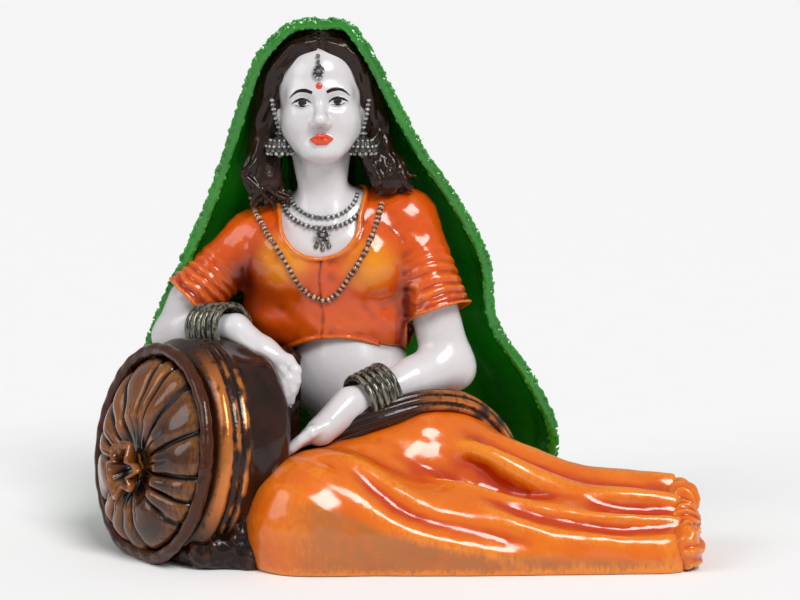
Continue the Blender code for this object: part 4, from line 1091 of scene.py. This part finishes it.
def by_bolster(p):
    """The other way round: how far points lie along the bolster, across it and up from its middle."""
    off = p - BOLSTER_FACE
    return off @ BOLSTER_AXIS - math.tan(BOLSTER_LEAN) * off[:, 2], off @ BOLSTER_SIDE, off[:, 2]


BOLSTER_ROUND = 7.0


def bolster_body_field():
    def field(p):
        along, across, up = (way.astype(np.float32) for way in by_bolster(p))
        out = np.hypot(across, up)
        turn = np.arctan2(up, across)
        slant = along + 1.2 * np.sin(turn * 2 + 0.6)
        bands = 1.6 * np.exp(-((slant - 5.2) / 1.9) ** 2) + np.exp(-((slant - 9.6) / 1.0) ** 2)
        bands += 1.1 * np.exp(-((slant - 13.2) / 1.2) ** 2)
        pulled = 0.7 * waves(p, 17, 64) + 0.4 * np.sin(turn * 9 + along * 0.3 + 2 * waves(p, 25, 65))
        drape = pulled * step_up(along, 13, 20) + 0.9 * bands
        past_side = out - (BOLSTER_RADIUS - BOLSTER_ROUND) - drape * 0.8
        past_end = np.abs(along - BOLSTER_LENGTH / 2) - (BOLSTER_LENGTH / 2 - BOLSTER_ROUND)
        q = np.stack([past_side, past_end], 1)
        outside = np.linalg.norm(np.maximum(q, 0), axis=1) + np.minimum(q.max(1), 0) - BOLSTER_ROUND
        return np.maximum(outside, -p[:, 2] + 0.02)
    return field


BOLSTER_FORM = bolster_body_field()


def throw_field():
    forms = blend(3, limb((on_bolster(8, 10, -33), 6), (on_bolster(9, 24, -31), 7), (at(-53, -42, 5), 8)),
                  limb((at(-53, -42, 5), 8), (at(-54, -38, 22), 7), (at(-51, -29, 38), 6.5),
                       (at(-47, -16, 48), 6)),
                  limb((at(-52, -20, 40), 6), (at(-46, -8, 54), 7.5), (at(-42, 2, 64), 7)),
                  limb((at(-50, -24, 36), 6), (at(-40, -12, 46), 7), (at(-40, -6, 58), 6.5)),
                  limb((at(-50, -20, 50), 6), (at(-42, -17, 40), 6.5)))
    creases = [ridge([(-49, -47, 4), (-50, -45, 16), (-49, -38, 30), (-46, -26, 42)], 2.4),
               ridge([(-56, -49, 3), (-57, -46, 14), (-58, -42, 28), (-56, -32, 42)], 2.0)]
    whole = blend(2, forms, *creases)
    return lambda p: np.maximum(whole(p) - 0.5 * waves(p, 8, 41) - 0.25 * waves(p, 3.5, 42),
                                -p[:, 2] + 0.02)


def make_bolster():
    """The cover, the cloth that is pooled beside it, and the rolled piping round its end."""
    def banded(p):
        along, _, up = by_bolster(p)
        low = step_up(up, -30, -8) * step_up(-up, -39, -26)
        streaks = step_up(waves(p * (1, 1, 0.3), 5, 62) + step_up(-along, -8, -6), -0.3, 0.5)
        return step_up(along, 1.5, 3.5) * step_up(-along, -15.5, -13) * low * streaks

    body = without(0.5, BOLSTER_FORM, grown(RIGHT_ARM_FORM, 0.15))
    cast("bolster_cloth", body, at(-118, -64, -2), at(-28, 40, 82), 0.75, EDGED, ["bolster_cover"], "brown",
         rounds=14, reach=0.55, masks={"patch": banded})
    cast("pooled_cloth", throw_field(), at(-84, -62, -2), at(-36, 14, 76), 0.6, BROWN, ["throw_cloth"],
         "brown", rounds=10, reach=0.5)
    turn, ring = circle(240), CAP_RADIUS + PIPING_OUT
    path = on_bolster(np.full(240, -PIPING_PROUD), ring * np.cos(turn), ring * np.sin(turn))
    path[:, 2] = np.maximum(path[:, 2], PIPING_RADIUS + 0.3)

    def ribs(around, along):
        return 1 + 0.05 * np.sin(along * 180 + np.sin(around) * 2) + 0.04 * np.sin(along * 61 + around * 2)

    obj = to_object("rolled_piping", tube(path, PIPING_RADIUS, 20, closed=True, ribs=ribs))
    piece(obj, BROWN, ["bolster_piping"], "brown", rounds=6, reach=0.3)


def pleat_place(turn):
    """How far across its pleat a direction lies, from -0.5 to 0.5."""
    swing = turn + 0.10 * np.sin(turn * 4 + 1) + 0.05 * np.sin(turn * 7 + 3)
    return np.mod(swing * CAP_PLEATS / (2 * math.pi), 1) - 0.5


def make_end_cap():
    """The gathered end: plump pleats that all run to the middle, with a short crease in some of them."""
    turn = circle(540)[None, :]
    out = np.linspace(0.1, 1, 90)[:, None]
    across_pleat = pleat_place(turn)
    plump = np.sqrt(np.clip(1 - np.abs(2 * across_pleat) ** 2.6, 0, 1))
    dome = np.sqrt(np.clip(1 - out ** 3.0, 0, 1))
    fade = np.clip((out - 0.18) * 3.2, 0, 1)
    tuck = np.exp(-(across_pleat / 0.045) ** 2 - ((out - 0.42) / 0.13) ** 2) * (np.sin(turn * 5) > -0.2)
    height = 0.9 + dome * (7.6 + 4.2 * plump * fade + 0.35 * np.sin(out * 17 + turn * 3)) - 1.1 * tuck
    radius = out * (CAP_RADIUS + 0.4 - 2.4 * (1 - plump))
    sag = KNOT_DROP * (1 - out)
    across, up = radius * np.cos(turn), radius * np.sin(turn) - sag
    front = on_bolster(-height, across, up)
    # The back is a wider plain disc, so that no gap is left between the pleats and the rolled piping.
    wide = out[::-1] * (CAP_RADIUS + 1.8)
    back = on_bolster(np.full_like(across, -0.6), wide * np.cos(turn), wide * np.sin(turn) - sag[::-1])
    loops = np.concatenate([front, back])
    loops[..., 2] = np.maximum(loops[..., 2], 0.3)
    obj = to_object("pleated_end", loft(loops))

    # Painted shade: near black in the gaps between the pleats, round the middle and by the rim, and darker
    # over the side towards her and lower down.
    def pleat_shade(p):
        _, across_end, rise = by_bolster(p)
        reach = np.hypot(across_end, rise)
        drop = KNOT_DROP * (1 - np.clip(reach / CAP_RADIUS, 0, 1))
        gap_shade = step_up(np.abs(pleat_place(np.arctan2(rise + drop, across_end))), 0.30, 0.45)
        middle = step_up(-np.hypot(across_end, rise + KNOT_DROP), -15.5, -10.5)
        rim = step_up(reach, CAP_RADIUS - 2.5, CAP_RADIUS)
        shade = 0.82 * step_up(across_end - 0.35 * rise + 9 * waves(p, 14, 63), -2, 22)
        return np.maximum.reduce([gap_shade, middle, rim, shade])

    piece(obj, COPPER, ["bolster_end_cap"], "copper", rounds=16, reach=0.7, masks={"extra": pleat_shade})


def make_knot():
    """The gathered cloth at the middle: a narrow neck that flares to a thick crimped lip, open inside."""
    around = circle(320)
    lobes = np.sin(around * 6 + 1.1 * np.sin(around * 2 + 1)) * (1 + 0.3 * np.sin(around * 3 + 0.5))
    fine = np.sin(around * 17 + 2 * np.sin(around * 3))
    # Radius, height over the end, and how deep the lobes are, from the neck over the lip and down inside.
    wall = smooth_line([(4.6, 8.6, 0.4), (5.0, 10.2, 0.6), (6.6, 11.8, 1.0), (8.2, 13.0, 1.5),
                        (9.0, 14.3, 1.8), (8.8, 15.5, 1.8), (7.8, 15.9, 1.6), (6.6, 15.2, 1.3),
                        (5.6, 13.6, 1.0), (4.6, 11.8, 0.7), (3.4, 10.0, 0.4), (1.6, 9.0, 0.1)], 70)
    loops = []
    for radius, lift, depth in wall:
        ring = radius + depth * lobes + 0.12 * depth * fine
        rise = lift + 0.55 * depth * np.cos(around * 6 + 2) * 0.6 + 0.25 * depth * np.sin(around * 2)
        loops.append(on_bolster(-rise, ring * np.cos(around), ring * np.sin(around) - KNOT_DROP))
    knot = to_object("tied_knot", loft(loops))

    # Painted shade in the knot's opening.
    def inside(p):
        _, across_end, rise = by_bolster(p)
        return step_up(-np.hypot(across_end, rise + KNOT_DROP), -6.2, -4.2)

    piece(knot, COPPER, ["bolster_knot"], "copper", rounds=10, reach=0.5, masks={"extra": inside})


# ---------------------------------------------------------------- veil

# Height, left edge, right edge, and how far the open edge and the back lie from the front.
VEIL_STATIONS = np.array([
    (0.2, -98, 52, 24, 54), (18, -99, 55, 20, 55), (36, -99, 57.5, 17, 55), (56, -97, 49, 15, 54),
    (78, -90, 35, 14, 53), (100, -80, 32, 13, 51), (120, -71, 22.5, 11, 49), (140, -63.5, 9, 8, 47),
    (158, -57.5, -1, 5, 45), (172, -52.5, -8, 3, 43), (181, -46, -13.5, 2, 39),
    (186.5, -38.5, -18.5, 3, 32), (188.6, -31.5, -25.5, 8, 22),
])
VEIL_RIM = 2.4
VEIL_INNER_TOP = 186.2


def make_veil():
    """The cloth behind her: an outer and an inner skin that hang in folds, joined along the open edge."""
    levels = smooth_line(VEIL_STATIONS, 190)
    turn = math.pi * (1 - np.linspace(0, 1, 150))[None, :]
    height, left, right, front, back = (levels[:, i][:, None] for i in range(5))
    high = np.clip((189 - height) / 60, 0, 1)
    low_share = np.clip((150 - height) / 120, 0, 1)
    drape = (2.6 * np.sin(turn * 9 + height * 0.012) + 1.3 * np.sin(turn * 17 + height * 0.03 + 1)
             + 0.8 * np.sin(turn * 5 + height * 0.07)) * np.sin(turn) ** 0.6 * low_share
    deep = back - front

    def skin(rim, depth, folds, sink):
        """One face of the cloth: how far its edges are drawn in, its depth, its folds, and its set-back."""
        half = (right - left) / 2 - rim
        x = (left + right) / 2 + half * np.cos(turn) * (1 - 0.004 * drape * high)
        y = front + sink + depth * np.sin(turn) + drape * folds * 0.75
        return np.stack([x, y, np.broadcast_to(height, x.shape)], -1)

    def lit(p):
        return np.clip(0.75 + 0.5 * waves(p, 40, 51), 0, 1)

    outer = skin(0, deep * 0.97, 1, 0)
    inner = skin(VEIL_RIM, np.maximum(deep * 0.9 - 4.5, deep * 0.3), 0.7, 1.2)
    inner[..., 2] = np.minimum(inner[..., 2], VEIL_INNER_TOP)
    obj = to_object("veil_cloth", loft(np.concatenate([outer, inner[:, ::-1]], 1)))
    piece(obj, GREEN, ["veil"], "green", rounds=30, reach=0.7, masks={"patch": lit})


def veil_edge():
    stations = VEIL_STATIONS[1:-1]
    left = [(s[1] + 1.4, s[3] - 0.6, s[0]) for s in stations]
    right = [(s[2] - 1.4, s[3] - 0.6, s[0]) for s in stations]
    return left + [(-28.5, 3.2, 187.0)] + right[::-1]


def make_border():
    """The worked border: a rolled edge with four rows of small knots on it."""
    draw = np.random.default_rng(9)
    spots = evenly(smooth_line(veil_edge(), 900), 1.55)
    run = np.gradient(spots, axis=0)
    run /= np.linalg.norm(run, axis=1)[:, None]
    out = np.cross(run, (0, 1, 0))
    out /= np.linalg.norm(out, axis=1)[:, None] + 1e-9
    shapes = [tube(spots, 1.7, 10, up=(0, 1, 0))]
    for i, spot in enumerate(spots):
        for row in (-2.2, -1.1, 0.0, 1.1):
            shift = out[i] * -row + run[i] * 0.4 * row
            size = draw.uniform(0.5, 0.78)
            wild = draw.uniform(-0.3, 0.3, 3)
            slant = run[i] + out[i] * draw.uniform(-0.8, 0.8)
            shapes.append(bead(spot + shift + wild + (0, -1.25 + 0.3 * abs(row + 0.3), 0),
                               (size * 0.8, size * 0.8, size * 1.6), 6, 8, axis=slant))
    trim("veil_lace_border", shapes, 0.36, LACE, ["veil_border"], "green", rounds=6, reach=0.4)


# ---------------------------------------------------------------- jewellery

def make_bangles():
    turn = circle(200)[:, None]
    for side, wrist, elbow, count in (("right", RIGHT_WRIST, RIGHT_ELBOW, 6),
                                      ("left", LEFT_WRIST, LEFT_ELBOW, 5)):
        along = unit(elbow - wrist)
        aside = unit(np.cross(along, (0, 0, 1)))
        third = np.cross(along, aside)
        for i in range(count):
            centre = middle_of(f"bangle_{side}_{i + 1}") - SETTLED
            ring = WRIST_RADIUS + BANGLE_SLACK + BANGLE_WIRE + BANGLE_WIDENS * i
            path = centre + ring * (np.cos(turn) * aside + np.sin(turn) * third)

            def ribs(around, share):
                twist = np.sin(share * 2 * math.pi * 9 + around * 2)
                return 1 + 0.05 * twist + 0.05 * np.cos(around * 3 + i)

            shape = tube(path, BANGLE_WIRE * 0.98, 14, closed=True, up=along, ribs=ribs)
            obj = to_object(f"twisted_bangle_{side}_{i + 1}", shape)
            piece(obj, GUNMETAL, [f"bangle_{side}_{i + 1}"], "silver", rounds=5, reach=0.35)


def bead_string(name, path, on, size, gap, paint, nodes, slot, clearance, wild=0.0, seed=0):
    """A string of beads laid on the forms below it, with its thread."""
    draw = np.random.default_rng(seed)
    laid = onto(on, path, (0, 1, 0), clearance).astype(float)
    missed = np.abs(on(laid.astype(np.float32))) > clearance + 1
    order = np.arange(len(laid))
    laid[missed, 1] = np.interp(order[missed], order[~missed], laid[~missed, 1])
    spots = evenly(laid, gap)
    run = np.gradient(spots, axis=0)
    shapes = [tube(spots, size * 0.55, 8, up=(0, 1, 0.1))]
    for i, spot in enumerate(spots):
        r = size * draw.uniform(0.85, 1.12)
        shapes.append(bead(spot + draw.uniform(-wild, wild, 3), (r, r, r * 0.8), 6, 10, axis=run[i]))
    trim(name, shapes, 0.24, paint, nodes, slot)


BEFORE_HER = -60  # chains are drawn here, in front of everything, and pushed back onto her


def arc(drop, reach):
    """A choker's line, by how far it hangs below the neck's base and how wide it is."""
    centre = NECK_BASE + at(-1, 0, 0)
    turn = np.radians(np.linspace(-84, 84, 60))
    height = centre[2] + drop + 9 * (1 - np.cos(turn))
    return np.stack([centre[0] + reach * np.sin(turn), np.full(60, float(BEFORE_HER)), height], 1)


def make_chains():
    bead_string("choker_chain_upper", arc(-1.0, 12.5), SKIN_FORM, 1.0, 1.9, SILVER, ["choker_upper"],
                "silver", 0.7)
    bead_string("choker_chain_lower", arc(-4.6, 14.5), SKIN_FORM, 1.05, 1.9, SILVER, ["choker_lower"],
                "silver", 0.7, seed=1)
    top = onto(SKIN_FORM, [NECK_BASE + at(-1, BEFORE_HER, -6.8)], (0, 1, 0), 1.2)[0]
    shapes = [bead(top, (2.6, 1.9, 1.2), 8, 16, axis=(0, 1, 0)),
              *ring_of(top + at(0, -0.7, 0), 7, 2.5, 1.8, at(1, 0, 0), at(0, 0, 1), 0.62),
              bead(top + at(0, -1.2, 0), 0.95)]
    for x, low in ((-2.3, 4.2), (0, 5.2), (2.3, 4.2)):
        shapes.append(bead(top + at(x * 0.8, -0.2, -low * 0.62), (0.75, 0.7, 0.9)))
        shapes.append(bead(top + at(x, -0.1, -low), (1.0, 0.9, 1.2)))
    trim("three_drop_pendant", shapes, 0.2, SILVER, ["choker_pendant"], "silver")
    cloth = blend(0.5, BLOUSE_FORM, SKIN_FORM)
    route = [(-54.5, 124), (-52.5, 119), (-48.5, 113.5), (-43.5, 106.5), (-39, 99), (-35.5, 93),
             (-31.5, 89.5), (-26.5, 88.5), (-23, 90.5), (-20, 95), (-16, 101), (-12, 108), (-8.7, 116),
             (-6.5, 124)]
    points = smooth_line([(x, BEFORE_HER, z) for x, z in route], 200)
    bead_string("copper_bead_necklace", points, cloth, 1.2, 2.0, BEADS, ["long_necklace"], "bead", 0.8,
                0.25, 4)


def make_earrings():
    # The bell's outline from its top to its rim and back inside: radius, and height over its middle.
    profile = [(0.25, 5.3), (1.1, 4.9), (1.6, 4.1), (1.1, 3.2), (1.9, 2.6), (3.3, 1.7), (4.3, 0.4),
               (4.8, -1.0), (4.95, -1.9), (4.6, -2.4), (3.6, -2.5), (2.4, -2.2), (0.3, -1.6)]
    turn = circle(72)
    for side, word in SIDES:
        centre = HEAD + (at(-14.5, -8.5, -19) if side < 0 else at(15.5, -8.5, -19))
        loops = []
        for r, _, h in smooth_line([(r, 0, h) for r, h in profile], 60):
            out = r * (1 + 0.05 * np.cos(turn * 12) * np.clip(r / 4, 0, 1))
            loops.append(np.stack([centre[0] + out * np.cos(turn), centre[1] + out * np.sin(turn),
                                   np.full(72, centre[2] + h)], 1))
        shapes = [loft(loops)]
        for ring, height, number, size in ((3.5, 1.7, 12, 0.5), (4.75, -0.4, 16, 0.62),
                                           (4.6, -2.9, 14, 0.75)):
            middle = centre + at(0, 0, height)
            shapes += ring_of(middle, number, ring, ring, at(1, 0, 0), at(0, 1, 0), size, 5, 8)
        shapes.append(bead(centre + at(0, 0, -3.2), (1.2, 1.2, 1.5)))
        trim(f"bell_earring_{word}", shapes, 0.22, SILVER, [f"jhumka_{word}"], "silver")
        top = HEAD + (at(-17.2, -8.5, -3) if side < 0 else at(17.7, -8.5, -3))
        path = smooth_line([top, (top + centre) / 2 + at(0, -1.8, 2), centre + at(0, -0.5, 5.4)], 40)
        shapes = [tube(path, 0.5, 8)] + [bead(s, (0.95, 0.95, 0.75), 6, 10) for s in evenly(path, 1.7)]
        trim(f"ear_bead_chain_{word}", shapes, 0.22, SILVER, [f"ear_chain_{word}"], "silver")


def make_tikka():
    spots = onto(FACE_FORM, [on_face(0, 30, w) for w in (9.5, 7.6, 6.0)], -FACE[1], 0.9)
    drop = onto(FACE_FORM, [on_face(0, 30, 3.4)], -FACE[1], 0.7)[0]
    shapes = [bead(s, 0.85) for s in spots] + [bead(drop, (1.9, 2.6, 0.8), 8, 16, axis=FACE[1])]
    shapes += ring_of(drop + FACE[1] * 0.4, 10, 1.7, 2.4, FACE[0], FACE[2], 0.55)
    shapes.append(bead(drop + FACE[1] * 0.7, 0.9))
    trim("forehead_drop", shapes, 0.2, SILVER, ["maang_tikka"], "silver")


# ---------------------------------------------------------------- the room

def make_stage():
    bpy.ops.mesh.primitive_plane_add(size=60, location=(0, 10, 0))
    floor = bpy.context.object
    floor.name = "pale_floor"
    n = Nodes("pale_floor_paper")
    paper = n.mix(n.noise(40, 2.0), (0.91, 0.91, 0.91), (0.93, 0.93, 0.93))
    n.finish(base_color=paper, roughness=0.9, specular_ior_level=0.1)
    floor.data.materials.append(n.material)
    world = bpy.data.worlds.new("soft_white")
    world.use_nodes = True
    sky = world.node_tree.nodes["Background"].inputs
    sky["Color"].default_value = (1, 1, 1, 1)
    sky["Strength"].default_value = 0.36
    bpy.context.scene.world = world
    bpy.context.scene.view_settings.view_transform = "Standard"
    for name, towards, energy, spread in (("soft_key", (0.35, -0.6, 0.75), 2.3, 26),
                                          ("soft_fill", (-0.7, -0.35, 0.5), 0.7, 34)):
        lamp = bpy.data.lights.new(name, "SUN")
        lamp.energy = energy
        lamp.angle = math.radians(spread)
        sun = bpy.data.objects.new(name, lamp)
        bpy.context.scene.collection.objects.link(sun)
        sun.rotation_euler = Vector(towards).to_track_quat("Z", "Y").to_euler()


def make_camera():
    distance, rise, width_in_view = 0.95, math.radians(8), 0.2886
    aim = np.array((0.0024, 0, 0.0885))
    camera = bpy.data.cameras.new("camera")
    camera.sensor_width = 36
    camera.lens = camera.sensor_width * distance / width_in_view
    eye = bpy.data.objects.new("camera", camera)
    bpy.context.scene.collection.objects.link(eye)
    eye.location = aim + distance * np.array((0, -math.cos(rise), math.sin(rise)))
    eye.rotation_euler = (math.radians(90) - rise, 0, 0)
    bpy.context.scene.camera = eye


for make in (make_skin, make_face_paint, make_hair, make_blouse, make_skirt, make_sash, make_bolster,
             make_end_cap, make_knot, make_veil, make_border, make_bangles, make_chains, make_earrings,
             make_tikka, make_stage, make_camera):
    make()
